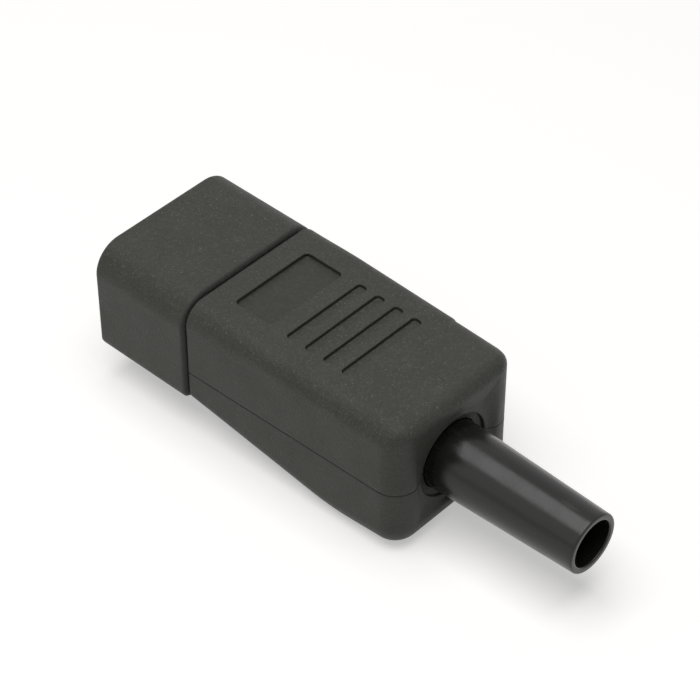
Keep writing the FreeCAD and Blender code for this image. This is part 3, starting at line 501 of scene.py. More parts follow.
def inner_triangles(node, keep):
    """Copy of a CAD node's triangles for which keep(corners) is true, corners in millimetres.

    corners has the shape triangles, 3, 3. The copy closes a skin on its hidden side.
    """
    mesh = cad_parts[node].data
    mesh.calc_loop_triangles()
    places = np.empty(len(mesh.vertices) * 3)
    mesh.vertices.foreach_get("co", places)
    places = places.reshape(-1, 3) / MM
    triangles = np.empty(len(mesh.loop_triangles) * 3, np.int32)
    mesh.loop_triangles.foreach_get("vertices", triangles)
    triangles = triangles.reshape(-1, 3)
    return places, triangles[keep(places[triangles])]


# Sections of the housing


def taper(x, front, rear):
    """Straight change from front to rear over the length of the shells."""
    return front + (rear - front) * (x - SHELL_FRONT) / (SHELL_REAR - SHELL_FRONT)


def half_width(x):
    """Half the width of both shells."""
    return taper(x, HALF_FRONT, HALF_REAR)


def crown_level(x):
    """Top of the upper shell."""
    return taper(x, CROWN_FRONT, CROWN_REAR)


def edge_radius(x):
    """Radius of the long edges of the underside."""
    return taper(x, EDGE_FRONT, EDGE_REAR)


def top_edge(x):
    """Radius of the crown's long edges: wide at the step, tight along the grip, wide behind it."""
    front, grip, rear = TOP_EDGE
    to_grip = smooth((x - SHELL_FRONT) / GRIP_RUN)
    to_rear = smooth((x - TOP_MARK) / MARK_RUN)
    return front + (grip - front) * to_grip + (rear - grip) * to_rear


def foot_level(x):
    """Underside: a straight fall, then a parabola over the bend, then level."""
    along = np.clip(x - SHELL_FRONT, 0, WEDGE_LENGTH + BEND_LENGTH)
    past = np.clip(along - WEDGE_LENGTH, 0, BEND_LENGTH)
    return FOOT_FRONT - WEDGE_SLOPE * (along - past + past - past**2 / (2 * BEND_LENGTH))


def half_section(half, flat, level, radius, across, sides=14, corners=16):
    """Points of a half section for each row: up one side, round, across, round and down.

    half, level and radius are arrays over the rows, flat is the seam's level. The middle
    columns keep their place in y; beyond them the columns share the arc's length evenly.
    Height at y past the corner's start is level - r + sqrt(r^2 - (|y| - (half - r))^2).
    """
    half, level, radius = (np.asarray(v, float)[:, None] for v in (half, level, radius))
    up = np.sign(level - flat)
    reach = across.max()
    start = half - radius
    skew = np.clip((reach - start) / radius, 0, 1)
    first = np.arcsin(skew)
    plain = np.maximum(start - reach, 0)
    length = plain + radius * (np.pi / 2 - first)
    s = np.linspace(0, 1, corners)[None, 1:] * length
    turn = first + np.maximum(s - plain, 0) / radius
    corner_y = np.where(s < plain, reach + s, start + radius * np.sin(turn))
    corner_z = np.where(s < plain, level, level - up * radius * (1 - np.cos(turn)))
    side_t = np.linspace(0, 1, sides)[None, 1:]
    side_z = (level - up * radius) + (flat - (level - up * radius)) * side_t
    side_y = np.repeat(half, sides - 1, 1)
    y = np.broadcast_to(across[None, :], (len(half), len(across)))
    over = np.clip((np.abs(y) - start) / radius, 0, 1)
    z = level - up * radius * (1 - np.sqrt(1 - over**2))
    left_y, left_z = np.hstack([corner_y, side_y]), np.hstack([corner_z, side_z])
    return (
        np.hstack([-left_y[:, ::-1], y, left_y]),
        np.hstack([left_z[:, ::-1], z, left_z]),
    )


def rounded_box_distance(x, y, box):
    """Distance from a rounded rectangle, negative inside: box is x0, x1, half width, corner."""
    x0, x1, half, corner = box
    px = np.abs(x - (x0 + x1) / 2) - (x1 - x0) / 2 + corner
    py = np.abs(y) - half + corner
    outside = np.hypot(np.maximum(px, 0), np.maximum(py, 0))
    return outside + np.minimum(np.maximum(px, py), 0) - corner


def sunk(distance, depth, run):
    """Depth of a sunk shape: a smooth step from 0 to depth as the distance passes its edge."""
    return depth * smooth((run / 2 - distance) / run)


def groove_box(k):
    """Start, end, half width and corner of finger groove k."""
    begin = GROOVE_START + k * GROOVE_PITCH
    return begin, begin + GROOVE_WIDTH, GROOVE_HALF, GROOVE_CORNER


def shell_stations(upper, rim):
    """Middle columns and body rows of a shell's grid, fine where the crown is sunk."""
    body = (SHELL_FRONT + rim, SHELL_REAR - REAR_ROUND, ROW_STEP)
    if not upper:
        return spaced((-COLUMN_REACH, COLUMN_REACH, ROW_STEP)), spaced(body)
    plain = LABEL[2] - 3 * SUNK_MARGIN
    across = spaced(
        (-COLUMN_REACH, -plain, FINE_STEP),
        (-plain, plain, COLUMN_STEP),
        (plain, COLUMN_REACH, FINE_STEP),
    )
    inside = LABEL[3] + 0.15
    rows = spaced(
        body,
        (LABEL[0] - SUNK_MARGIN, LABEL[0] + inside, FINE_STEP),
        (LABEL[1] - inside, LABEL[1] + SUNK_MARGIN, FINE_STEP),
    )
    for k in range(GROOVE_COUNT):
        begin, end = groove_box(k)[:2]
        rows = np.union1d(rows, spaced((begin - SUNK_MARGIN, end + SUNK_MARGIN, FINE_STEP)))
    return across, np.union1d(rows, spaced((TOP_MARK - 0.1, TOP_MARK + 0.6, 0.07)))


def shell_skin(upper, form):
    """Skin of one shell as one grid: opening, front rim, body, rear rim, recess and neck.

    Rows follow the axis. Each row is a half section, drawn in by d(phi) = r (1 - cos phi)
    along the rear rounding, then brought radially onto the circles of the sleeve's seat.
    """
    rim = form.rim_round / MM
    across, rows_x = shell_stations(upper, rim)
    rows_x = rows_x[np.diff(rows_x, append=np.inf) > 0.02]
    opening = OPENING_TOP if upper else OPENING_FOOT

    def outline_at(x, inset, drop):
        level = crown_level(x) - drop if upper else foot_level(x) + drop
        radius = top_edge(x) if upper else edge_radius(x)
        least = np.maximum(radius - inset, 0.15)
        return half_section(half_width(x) - inset, SEAM, level, least, across)

    parts_x, parts_y, parts_z = [], [], []

    def add(x, y, z):
        parts_x.append(np.broadcast_to(np.asarray(x, float).reshape(-1, 1), y.shape))
        parts_y.append(y)
        parts_z.append(z)

    # Wall of the opening and the front face, hidden behind the nose
    x = SHELL_FRONT + LIP_DEPTH * np.array([1, 0.5, 0])
    ones = np.ones(3)
    y, z = half_section(OPENING_HALF * ones, SEAM, opening * ones, OPENING_ROUND * ones, across)
    add(x, y, z)
    # Front rim
    phi = quarter(6)
    x = SHELL_FRONT + rim * (1 - np.sin(phi))
    inset = rim * (1 - np.cos(phi))
    y, z = outline_at(x, inset, inset)
    add(x[::-1], y[::-1], z[::-1])
    # Body
    still = np.zeros(len(rows_x))
    y, z = outline_at(rows_x, still, still)
    if upper:
        run = form.wall_run / MM
        drop = sunk(rounded_box_distance(rows_x[:, None], y, LABEL), form.label_depth / MM, run)
        for k in range(GROOVE_COUNT):
            distance = rounded_box_distance(rows_x[:, None], y, groove_box(k))
            drop = np.maximum(drop, sunk(distance, form.groove_depth / MM, 1.2 * run))
        z = np.where(z > CROWN_FLOOR, z - drop, z)
    add(rows_x, y, z)
    # Rear rim
    phi = quarter(17)[1:]
    x = SHELL_REAR - REAR_ROUND + REAR_ROUND * np.sin(phi)
    tight = CROWN_REAR_ROUND if upper else REAR_ROUND
    past = np.clip((x - SHELL_REAR + tight) / tight, 0, 1)
    y, z = outline_at(x, REAR_ROUND * (1 - np.cos(phi)), tight * (1 - np.sqrt(1 - past**2)))
    add(x, y, z)
    # Rear face, rim of the recess, its wall and floor, and the neck
    last_y, last_z = y[-1], z[-1]
    angle = np.arctan2(last_z - SEAM, last_y)
    cos, sin = np.cos(angle), np.sin(angle)
    outer = SEAT_RIM + rim
    for t in (0.05, 0.2, 0.35, 0.5, 0.65, 0.8, 0.9, 1.0):
        ring_y = last_y + (outer * cos - last_y) * t
        ring_z = last_z + (SEAM + outer * sin - last_z) * t
        dish = form.dish_depth / MM * smooth(t)
        add([SHELL_REAR - dish], ring_y[None], ring_z[None])
    mouth_x = SHELL_REAR - form.dish_depth / MM
    stations = [
        (mouth_x - rim * (1 - np.cos(turn)), outer - rim * np.sin(turn)) for turn in quarter(6)[1:]
    ]
    floor_x = SHELL_REAR - SEAT_DEPTH
    cut = 0.06
    stations += [
        (floor_x + 0.1, SEAT_RIM),
        (floor_x + cut, SEAT_RIM),
        (floor_x, SEAT_RIM - cut),
        (floor_x, SEAT_NECK + cut),
        (floor_x - cut, SEAT_NECK),
        (floor_x - NECK_DEPTH, SEAT_NECK),
    ]
    for x, radius in stations:
        add([x], (radius * cos)[None], (SEAM + radius * sin)[None])
    return np.stack([np.vstack(p) for p in (parts_x, parts_y, parts_z)], -1)


def seam_reach(edge):
    """How far the flat seam face runs in from its edge: the wall, or less by an outer corner.

    Within a wall of a right-angled corner it is the distance to the corner, so that the two
    faces that meet there end on its diagonal.
    """
    corners = (
        (SHELL_FRONT, HALF_FRONT),
        (SHELL_FRONT, OPENING_HALF),
        (SHELL_REAR, SEAT_RIM),
        (SHELL_REAR - SEAT_DEPTH, SEAT_NECK),
    )
    away = [np.hypot(edge[:, 0] - x, np.abs(edge[:, 1]) - y) for x, y in corners]
    return np.minimum(np.min(away, 0), WALL)[:, None]


def seam_edges(points, upper, form):
    """Add the rounded seam edge and the flat seam face along both sides of a shell's grid.

    The outward normal n is the cross product of the grid's two directions. Over the rounding
    a point goes from p to p - r n, then straight in along the flat seam face.
    """
    r = form.seam_round / MM
    sign = 1 if upper else -1
    along = np.gradient(points, axis=0)
    around = np.gradient(points, axis=1)
    normal = np.cross(along, around)
    normal /= np.maximum(np.linalg.norm(normal, axis=-1, keepdims=True), TINY)
    middle = points.shape[1] // 2
    body = points.shape[0] // 2
    if normal[body, middle, 2] * sign < 0:
        normal = -normal
    sides = []
    for column in (0, -1):
        edge = points[:, column].copy()
        n = normal[:, column].copy()
        n[:, 2] = 0
        n /= np.maximum(np.linalg.norm(n, axis=-1, keepdims=True), TINY)
        added = []
        for turn in quarter(5):
            p = edge - n * r * (1 - np.cos(turn))
            p[:, 2] = SEAM + sign * r * (1 - np.sin(turn))
            added.append(p)
        inner = edge - n * np.maximum(seam_reach(edge), r)
        inner[:, 2] = SEAM
        added.append(inner)
        sides.append(np.stack(added, 1))
    left = sides[0][:, ::-1]
    return np.concatenate([left, points[:, 1:-1], sides[1]], 1)


def depth_in_shell(corners, upper):
    """How far below the shell's outer skin each triangle's middle lies."""
    x, y, z = np.moveaxis(corners.mean(1), -1, 0)
    half = half_width(x)
    y = np.abs(y)
    if upper:
        rise, radius = crown_level(x) - z, TOP_ROUND
    else:
        rise, radius = z - foot_level(x), edge_radius(x)
    side = half - y
    in_corner = (side < radius) & (rise < radius)
    rounded = radius - np.hypot(radius - side, radius - rise)
    depth = np.where(in_corner, rounded, np.minimum(side, rise))
    return np.minimum(depth, SHELL_REAR - x)


def hidden_inside(node, upper):
    """The node's own hollow, bosses and ribs, behind the new skin."""

    def keep(corners):
        x, y, z = np.moveaxis(corners.mean(1), -1, 0)
        on_seam = np.abs(corners[:, :, 2] - SEAM).max(1) < ON_PLANE
        inner = depth_in_shell(corners, upper) > HIDDEN_DEPTH
        inner &= x > SHELL_FRONT + LIP_DEPTH - SLACK
        inner &= x < SHELL_REAR - SEAT_DEPTH - NECK_DEPTH + SLACK
        if not upper:
            spot = np.hypot(x - SCREW_SPOT[0], np.abs(y) - SCREW_SPOT[1])
            inner &= ~((spot < COUNTERBORE + 2 * SLACK) & (z < SCREW_SEAT + SLACK))
        return inner & ~(on_seam & (np.abs(y) > OPENING_HALF + 5))

    return inner_triangles(node, keep)


def underside(x, y):
    """Level of the lower shell's skin over a point of the plan."""
    radius = edge_radius(x)
    over = np.clip((np.abs(y) - (half_width(x) - radius)) / radius, 0, 1)
    return foot_level(x) + radius * (1 - np.sqrt(1 - over**2))


def counterbore(points, side):
    """Cut a counterbore in the lower skin: a mask of the grid's cells and the new surface.

    The border of a block of cells is drawn in to the bore's rim circle by
    p(t) = border + (circle - border) t, on the skin, and then follows the bore's profile.
    """
    x0, y0 = SCREW_SPOT[0], SCREW_SPOT[1] * side
    reach = COUNTERBORE + BORE_MARGIN
    x, y, z = np.moveaxis(points, -1, 0)
    inside = (np.abs(x - x0) < reach) & (np.abs(y - y0) < reach) & (z < underside(x, y) + 0.3)
    rows = np.where(inside.any(1))[0]
    columns = np.where(inside[rows[len(rows) // 2]])[0]
    i0, i1, j0, j1 = rows[0], rows[-1], columns[0], columns[-1]
    keep = np.ones((points.shape[0] - 1, points.shape[1] - 1), bool)
    keep[i0:i1, j0:j1] = False
    border = round_edge(points[i0 : i1 + 1, j0 : j1 + 1])
    angle = np.arctan2(border[:, 1] - y0, border[:, 0] - x0)
    rim = 0.15
    outer = COUNTERBORE + rim
    rings = [border]
    for t in (0.3, 0.6, 0.85, 1.0):
        x = border[:, 0] + (x0 + outer * np.cos(angle) - border[:, 0]) * t
        y = border[:, 1] + (y0 + outer * np.sin(angle) - border[:, 1]) * t
        rings.append(np.stack([x, y, underside(x, y)], -1))
    mouth = rings[-1][:, 2]
    profile = []
    for turn in quarter(5)[1:]:
        profile.append((outer - rim * np.sin(turn), mouth + rim * (1 - np.cos(turn))))
    level = np.full(len(border), SCREW_SEAT)
    profile.append((COUNTERBORE, mouth + 0.5 * (level - mouth)))
    profile += [(COUNTERBORE, level - 0.05), (COUNTERBORE - 0.05, level), (SCREW_WAY, level)]
    for radius, z in profile:
        x = x0 + radius * np.cos(angle)
        y = y0 + radius * np.sin(angle)
        rings.append(np.stack([x, y, z], -1))
    return keep, np.stack(rings)


# Nose


def nose_loop(half, top, foot, top_round, foot_round, plate_y, plate_z):
    """Closed outline of the nose, one point for each border point of the face plate.

    Each side of the plate answers to the outline's piece from mid corner to mid corner, and
    its points share that piece's length evenly, as the plate's points share the side.
    """
    r = {"t": max(top_round, 0.02), "f": max(foot_round, 0.02)}

    def piece(start_arc, straight, end_arc, t):
        """Place along quarter-turn half, straight run, quarter-turn half: distance and turn."""
        a, b = r[start_arc] * np.pi / 4, r[end_arc] * np.pi / 4
        s = t * (a + straight + b)
        run = np.clip(s - a, 0, straight)
        turn_in = np.where(s < a, (a - s) / r[start_arc], 0.0)
        turn_out = np.where(s > a + straight, (s - a - straight) / r[end_arc], 0.0)
        first = run - r[start_arc] * np.sin(turn_in) + r[end_arc] * np.sin(turn_out)
        inward = r[start_arc] * (1 - np.cos(turn_in)) + r[end_arc] * (1 - np.cos(turn_out))
        return first, inward

    def share(values):
        return (values - values[0]) / (values[-1] - values[0])

    ty, tz = share(plate_y)[:-1], share(plate_z)[:-1]
    width, height = 2 * half, top - foot
    run, inward = piece("f", width - 2 * r["f"], "f", ty)
    low = np.stack([-half + r["f"] + run, foot + inward], -1)
    run, inward = piece("f", height - r["f"] - r["t"], "t", tz)
    right = np.stack([half - inward, foot + r["f"] + run], -1)
    run, inward = piece("t", width - 2 * r["t"], "t", ty)
    high = np.stack([half - r["t"] - run, top - inward], -1)
    run, inward = piece("t", height - r["f"] - r["t"], "f", tz)
    left = np.stack([-half + inward, top - r["t"] - run], -1)
    return np.concatenate([low, right, high, left])


def face_points(y, z):
    """Grid of points on the mating face, of shape len(y), len(z), 3."""
    y, z = np.meshgrid(y, z, indexing="ij")
    return np.stack([np.zeros_like(y), y, z], -1)


def nose_skin(form):
    """Skin of the nose: rear face, four sides, front lip, face plate and three slots."""
    mouth = (SLOT_HALF[0] + SLOT_LEAD, SLOT_HALF[1] + SLOT_LEAD)
    lines_y, lines_z = [-PLATE_HALF[0], PLATE_HALF[0]], [-PLATE_HALF[1], PLATE_HALF[1]]
    for y, z in SLOTS:
        lines_y += [y - mouth[0], y + mouth[0]]
        lines_z += [z - mouth[1], z + mouth[1]]

    def refine(lines):
        lines = sorted(set(np.round(lines, 5)))
        return spaced(*[(a, b, PLATE_STEP) for a, b in zip(lines, lines[1:])])

    plate_y, plate_z = refine(lines_y), refine(lines_z)

    def loop(x, inset):
        outline = nose_loop(
            NOSE_HALF - inset, NOSE_TOP - inset, NOSE_FOOT + inset,
            NOSE_CORNER - inset, NOSE_EDGE - inset, plate_y, plate_z,
        )
        return np.hstack([np.full((len(outline), 1), x), outline])

    lip = NOSE_LIP
    rows = []
    neck = nose_loop(OPENING_HALF - 0.1, 5.1, -5.1, 1.2, 1.2, plate_y, plate_z)
    rows.append(np.hstack([np.full((len(neck), 1), NOSE_LENGTH), neck]))
    step = form.step_round / MM
    for turn in quarter(8):
        rows.append(loop(NOSE_LENGTH - step * (1 - np.cos(turn)), step * (1 - np.sin(turn))))
    for x in np.linspace(NOSE_LENGTH - step - 0.2, lip + 0.1, 36):
        rows.append(loop(x, 0.0))
    for turn in quarter(9):
        rows.append(loop(lip * (1 - np.sin(turn)), lip * (1 - np.cos(turn))))
    flat = loop(0.0, lip)
    plate = face_points(plate_y, plate_z)
    border = round_edge(plate.swapaxes(0, 1))
    for t in (0.08, 0.5, 1.0):
        rows.append(flat + (border - flat) * t)
    tube = turned(grid(np.stack(rows), closed=True))
    centre_y = (plate_y[:-1] + plate_y[1:])[:, None] / 2
    centre_z = (plate_z[:-1] + plate_z[1:])[None, :] / 2
    solid = np.ones((len(plate_y) - 1, len(plate_z) - 1), bool)
    surfaces = [tube]
    for cy, cz in SLOTS:
        solid &= ~((np.abs(centre_y - cy) < mouth[0]) & (np.abs(centre_z - cz) < mouth[1]))
        ys = plate_y[np.abs(plate_y - cy) < mouth[0] + ON_PLANE]
        zs = plate_z[np.abs(plate_z - cz) < mouth[1] + ON_PLANE]
        ring = round_edge(face_points(ys, zs).swapaxes(0, 1))
        centre = np.array([0, cy, cz])
        shrink = np.array([1, SLOT_HALF[0] / mouth[0], SLOT_HALF[1] / mouth[1]])
        narrow = centre + (ring - centre) * shrink
        inward = np.array([1, 0, 0])
        walls = [ring + (narrow - ring) * t + SLOT_LEAD * t * inward for t in (0, 0.06, 0.94, 1)]
        walls += [narrow + (SLOT_LEAD + 0.05) * inward, narrow + FACE_WALL * inward]
        surfaces.append(turned(grid(np.stack(walls), closed=True)))
    surfaces.append(grid(plate, keep=solid))
    return surfaces


def behind_nose(corners):
    """Whether a triangle of the contact block lies behind the nose's new skin."""
    x, y, z = np.moveaxis(corners.mean(1), -1, 0)
    y = np.abs(y)
    on_rear = np.abs(corners[:, :, 0] - NOSE_LENGTH).max(1) < ON_PLANE
    outer = (y > NOSE_HALF - NOSE_SKIN) | (np.abs(z) > NOSE_TOP - NOSE_SKIN)
    past_y, past_z = y - (NOSE_HALF - NOSE_ROUND), z - (NOSE_TOP - NOSE_ROUND)
    depth = NOSE_ROUND - np.hypot(past_y, past_z)
    outer |= (past_y > 0) & (past_z > 0) & (depth < NOSE_CORNER_SKIN)
    return (x > FACE_WALL - SLACK) & ~(outer & (x < NOSE_LENGTH + SLACK)) & ~on_rear


# Sleeve


def sleeve_skin(form):
    """Sleeve turned about the cord axis: r(x) falls straight from the neck to the mouth."""
    front, tip, flange, thick, base, mouth, bore = SLEEVE
    rim = form.rim_round / MM
    edge = 0.2
    profile = [(front, bore), (front, flange - edge)]
    for turn in quarter(4):
        profile.append((front + edge * (1 - np.cos(turn)), flange - edge * (1 - np.sin(turn))))
    profile += [(front + thick, flange), (front + thick, base)]
    stations = spaced((front + thick + 0.05, SHELL_REAR, 0.5), (SHELL_REAR, tip - rim, 0.5))
    for x in stations:
        fall = np.clip((x - SHELL_REAR) / (tip - SHELL_REAR), 0, 1)
        profile.append((x, base + (mouth - base) * fall))
    for turn in quarter(7)[1:]:
        profile.append((tip - rim * (1 - np.sin(turn)), mouth - rim * (1 - np.cos(turn))))
    for turn in quarter(7):
        profile.append((tip - rim * (1 - np.cos(turn)), bore + rim * (1 - np.sin(turn))))
    profile += [(x, bore) for x in np.linspace(tip - rim - 0.1, front, 20)]
    profile = np.array(profile)
    angle = np.linspace(0, 2 * np.pi, 128, endpoint=False)
    x = np.repeat(profile[:, :1], len(angle), 1)
    y = profile[:, 1:] * np.cos(angle)
    z = SEAM + profile[:, 1:] * np.sin(angle)
    return grid(np.stack([x, y, z], -1), closed=True)


# Materials


def band(value, start, end):
    """1 where value lies between two edges, each a smooth ramp from low to high, else 0."""
    return value.ramp(*start) * (1 - value.ramp(*end))


def housing_masks(work):
    """Fields from 0 to 1 over the housing: the sunk panel, the lines of painted shade in the sunk
    walls and the step with a dark line along the parting line, and the crown.
    """
    x, y, z = (work.node("ShaderNodeSeparateXYZ", None, {0: work.place}, k) for k in range(3))
    x0, x1, half = LABEL[:3]
    panel = band(x, (x0 - 0.05, x0 + 0.15), (x1 - 0.15, x1 + 0.05))
    panel = panel * (1 - (y * y).ramp((half - 0.1) ** 2, half**2))
    panel = panel * band(z, (6.0, 6.5), (7.15, 7.35))
    # Painted shade on the walls of the panel and the grooves, found by their depth below the crown
    below = CROWN_FRONT - (x - SHELL_FRONT) * CROWN_FALL - z
    crease_shade = band(below, (0.05, 0.14), (0.36, 0.46)) * band(x, (18.5, 19.0), (41.0, 42.0))
    crease_shade = crease_shade * (1 - (y * y).ramp(45.0, 47.0))
    # Painted shade in the step from the nose to the shells, and a dark line along the parting line
    # behind it
    behind_step = (16.3, 16.5)
    step = band(x, (15.25, 15.8), behind_step)
    from_seam = z - SEAM
    seam = (1 - (from_seam * from_seam).ramp(0.006, 0.03)) * x.ramp(*behind_step)
    # Second field: painted shade in the sunk walls and the step, plus the dark line along the
    # parting line
    return panel, crease_shade * 0.8 + step * 0.7 + seam * 0.6, z.ramp(3.0, 6.0)


def housing_plastic(name, finish):
    """Dark moulded plastic: pitted grain, faint mottling and fine pale specks, with painted shade
    in the sunk walls and the step and a dark parting line.
    """
    work = Finish(name)
    size = finish.grain / MM
    coarse = work.noise(size * 1.5, 3.0, 0.65)
    fine = work.noise(size * 0.55, 2.0, 0.5)
    mottle = work.noise(6.0, 3.0, 0.6).ramp(0.3, 0.72)
    height = coarse * 0.65 + fine * 0.35
    specks = work.noise(size * 0.7, 1.0, 0.5).ramp(0.64, 0.76)
    dots = 1 - work.cells(1.1).ramp(0.04, 0.09)
    peaks = height.ramp(0.44, 0.66)
    base = finish.plastic
    panel, lines, top = housing_masks(work)
    grit = 1 - panel
    colour = work.mix(peaks, tuple(c * 0.8 for c in base), tuple(c * 1.22 for c in base))
    colour = work.mix(mottle * 0.08, colour, tuple(c * 1.7 for c in base))
    dust = grit * (specks * (0.08 + top * 0.14) + dots * 0.25)
    colour = work.mix(dust, colour, tuple(finish.dust))
    colour = work.mix(panel * 0.25, colour, tuple(c * 0.55 for c in base))
    # Painted shade: the sunk walls, the step and the parting line darkened towards a tenth of the
    # base colour
    colour = work.mix(lines, colour, tuple(c * 0.1 for c in base))
    rough = 0.5 + peaks * 0.12 - mottle * 0.06 - panel * 0.05
    return work.surface(
        Base_Color=colour,
        Roughness=rough,
        Specular_IOR_Level=0.24,
        Normal=work.bump(height * (0.3 + grit * (0.45 + top * 0.45)), size * 0.5, 0.9),
    )


def sleeve_plastic(name, finish):
    """Smooth black plastic with faint scratches along the sleeve."""
    work = Finish(name)
    streaks = work.noise(0.35, 3.0, 0.6, (0.06, 1.0, 1.0)).ramp(0.58, 0.8)
    smear = work.noise(3.0, 3.0, 0.6)
    fine = work.noise(0.5, 3.0, 0.6)
    base = finish.sleeve
    colour = work.mix(streaks * 0.35, tuple(base), tuple(c * 4 for c in base))
    rough = 0.2 + smear.ramp(0.3, 0.8) * 0.1 + streaks * 0.15
    return work.surface(
        Base_Color=colour,
        Roughness=rough,
        Specular_IOR_Level=0.4,
        Normal=work.bump(fine * 0.6 + streaks * 0.4, 0.012, 0.8),
    )


def brass(name, finish):
    """Rolled brass strip: fine lines along it and a warm uneven tarnish."""
    work = Finish(name)
    lines = work.noise(0.3, 2.0, 0.5, (0.15, 1.0, 1.0))
    tarnish = work.noise(2.5, 4.0, 0.6).ramp(0.35, 0.75)
    base = finish.brass
    colour = work.mix(tarnish * 0.5, tuple(base), tuple(c * 0.6 for c in base))
    return work.surface(
        Base_Color=colour,
        Metallic=1.0,
        Roughness=0.26 + tarnish * 0.2 + lines * 0.08,
        Normal=work.bump(lines, 0.01, 0.6),
    )


def zinc(name, finish):
    """Zinc plating: bright, slightly cloudy, with tiny tool marks."""
    work = Finish(name)
    cloud = work.noise(1.2, 4.0, 0.6).ramp(0.3, 0.75)
    marks = work.noise(0.25, 3.0, 0.6)
    base = finish.zinc
    colour = work.mix(cloud * 0.6, tuple(base), tuple(c * 0.72 for c in base))
    return work.surface(
        Base_Color=colour,
        Metallic=1.0,
        Roughness=0.3 + cloud * 0.18,
        Normal=work.bump(marks, 0.012, 0.6),
    )


# Operators


def material_for(slot, finish):
    """The slot's material, made once."""
    name = slot + "_finish"
    made = bpy.data.materials.get(name)
    if made is not None:
        return made
    if slot in ("shell_plastic", "block_plastic"):
        return housing_plastic(name, finish)
    makers = {"sleeve_plastic": sleeve_plastic, "contact_brass": brass, "plated_steel": zinc}
    return makers[slot](name, finish)


def dress_nodes(names, slot, finish, soften):
    """Give CAD nodes a better material and small live bevels, soften millimetres wide."""
    material = material_for(slot, finish)
    for name in names:
        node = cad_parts[name]
        node.data.materials.clear()
        node.data.materials.append(material)
        weld = node.modifiers.new("weld", "WELD")
        weld.merge_threshold = 0.002 * MM
        bevel = node.modifiers.new("edges", "BEVEL")
        bevel.width = soften * MM
        bevel.segments = 2
        bevel.limit_method = "ANGLE"
        bevel.angle_limit = math.radians(40)


class CONNECTOR_OT_upper_shell(bpy.types.Operator):
    """Make the upper shell's skin with its panel, finger grooves and rounded rear"""

    bl_idname = "connector.upper_shell"
    bl_label = "Upper shell"

    def execute(self, context):
        form, finish = context.scene.connector_form, context.scene.connector_finish
        points = seam_edges(shell_skin(True, form), True, form)
        skin = turned(grid(points))
        surfaces = [skin, hidden_inside("upper_shell", True)]
        make_piece("upper_shell_skin", surfaces, "upper_shell", "shell_plastic", finish)
        return {"FINISHED"}


class CONNECTOR_OT_lower_shell(bpy.types.Operator):
    """Make the lower shell's skin with its wedge-shaped underside and counterbores"""

    bl_idname = "connector.lower_shell"
    bl_label = "Lower shell"

    def execute(self, context):
        form, finish = context.scene.connector_form, context.scene.connector_finish
        points = seam_edges(shell_skin(False, form), False, form)
        keep = np.ones((points.shape[0] - 1, points.shape[1] - 1), bool)
        bores = []
        for side in (-1, 1):
            mask, rings = counterbore(points, side)
            keep &= mask
            bores.append(grid(rings, closed=True))
        surfaces = [grid(points, keep=keep), *bores, hidden_inside("lower_shell", False)]
        make_piece("lower_shell_skin", surfaces, "lower_shell", "shell_plastic", finish)
        return {"FINISHED"}


class CONNECTOR_OT_nose(bpy.types.Operator):
    """Make the nose's skin with its front lip and three blade slots"""

    bl_idname = "connector.nose"
    bl_label = "Nose"

    def execute(self, context):
        form, finish = context.scene.connector_form, context.scene.connector_finish
        surfaces = [*nose_skin(form), inner_triangles("contact_block", behind_nose)]
        make_piece("nose_skin", surfaces, "contact_block", "block_plastic", finish)
        return {"FINISHED"}


class CONNECTOR_OT_sleeve(bpy.types.Operator):
    """Make the tapered, open cord sleeve"""

    bl_idname = "connector.sleeve"
    bl_label = "Cord sleeve"

    def execute(self, context):
        form, finish = context.scene.connector_form, context.scene.connector_finish
        make_piece("sleeve_skin", [sleeve_skin(form)], "cord_sleeve", "sleeve_plastic", finish)
        return {"FINISHED"}


class CONNECTOR_OT_metal(bpy.types.Operator):
    """Give the contacts, inserts, screws and washers their metals"""

    bl_idname = "connector.metal"
    bl_label = "Metal parts"

    def execute(self, context):
        finish = context.scene.connector_finish
        nodes = sorted(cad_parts)
        strip = [n for n in nodes if n.endswith("_contact") or n.startswith("threaded_insert")]
        steel = [n for n in nodes if "screw" in n or n.endswith("_washer")]
        dress_nodes(strip, "contact_brass", finish, 0.06)
        dress_nodes(steel, "plated_steel", finish, 0.06)
        return {"FINISHED"}


class CONNECTOR_OT_clamp(bpy.types.Operator):
    """Give the cord clamp the housing's plastic and softened edges"""

    bl_idname = "connector.clamp"
    bl_label = "Cord clamp"

    def execute(self, context):
        dress_nodes(["cord_clamp"], "shell_plastic", context.scene.connector_finish, 0.12)
        return {"FINISHED"}


def floor_paper():
    """White paper: plain to the light, and lifted to white where it is seen."""
    work = Nodes(bpy.data.materials.new("floor_paper"))
    plain = work.node("ShaderNodeBsdfDiffuse", None, {"Color": (0.6, 0.6, 0.59, 1)})
    paper = work.node("ShaderNodeBsdfDiffuse", None, {"Color": (0.84, 0.825, 0.8, 1)})
    glow = work.node("ShaderNodeEmission", None, {"Color": (1, 1, 1, 1), "Strength": 0.42})
    lifted = work.node("ShaderNodeAddShader", None, {0: paper, 1: glow})
    shown = work.node("ShaderNodeMixShader", None, {0: work.seen(), 1: plain, 2: lifted})
    work.node("ShaderNodeOutputMaterial", None, {"Surface": shown}, None)
    return work.owner


def studio_world(strength):
    """Even light of the given strength, with a white backdrop where it is seen."""
    work = Nodes(bpy.data.worlds.new("studio"))
    sky = work.node("ShaderNodeBackground", None, {"Strength": strength})
    backdrop = work.node("ShaderNodeBackground", None, {"Strength": 1.0})
    shown = work.node("ShaderNodeMixShader", None, {0: work.seen(), 1: sky, 2: backdrop})
    work.node("ShaderNodeOutputWorld", None, {"Surface": shown}, None)
    return work.owner


def stand(name, data, place, target):
    """Place a lamp or a camera, turned towards its target."""
    made = bpy.data.objects.new(name, data)
    made.location = place
    made.rotation_euler = (target - place).to_track_quat("-Z", "Y").to_euler()
    bpy.context.scene.collection.objects.link(made)
    return made


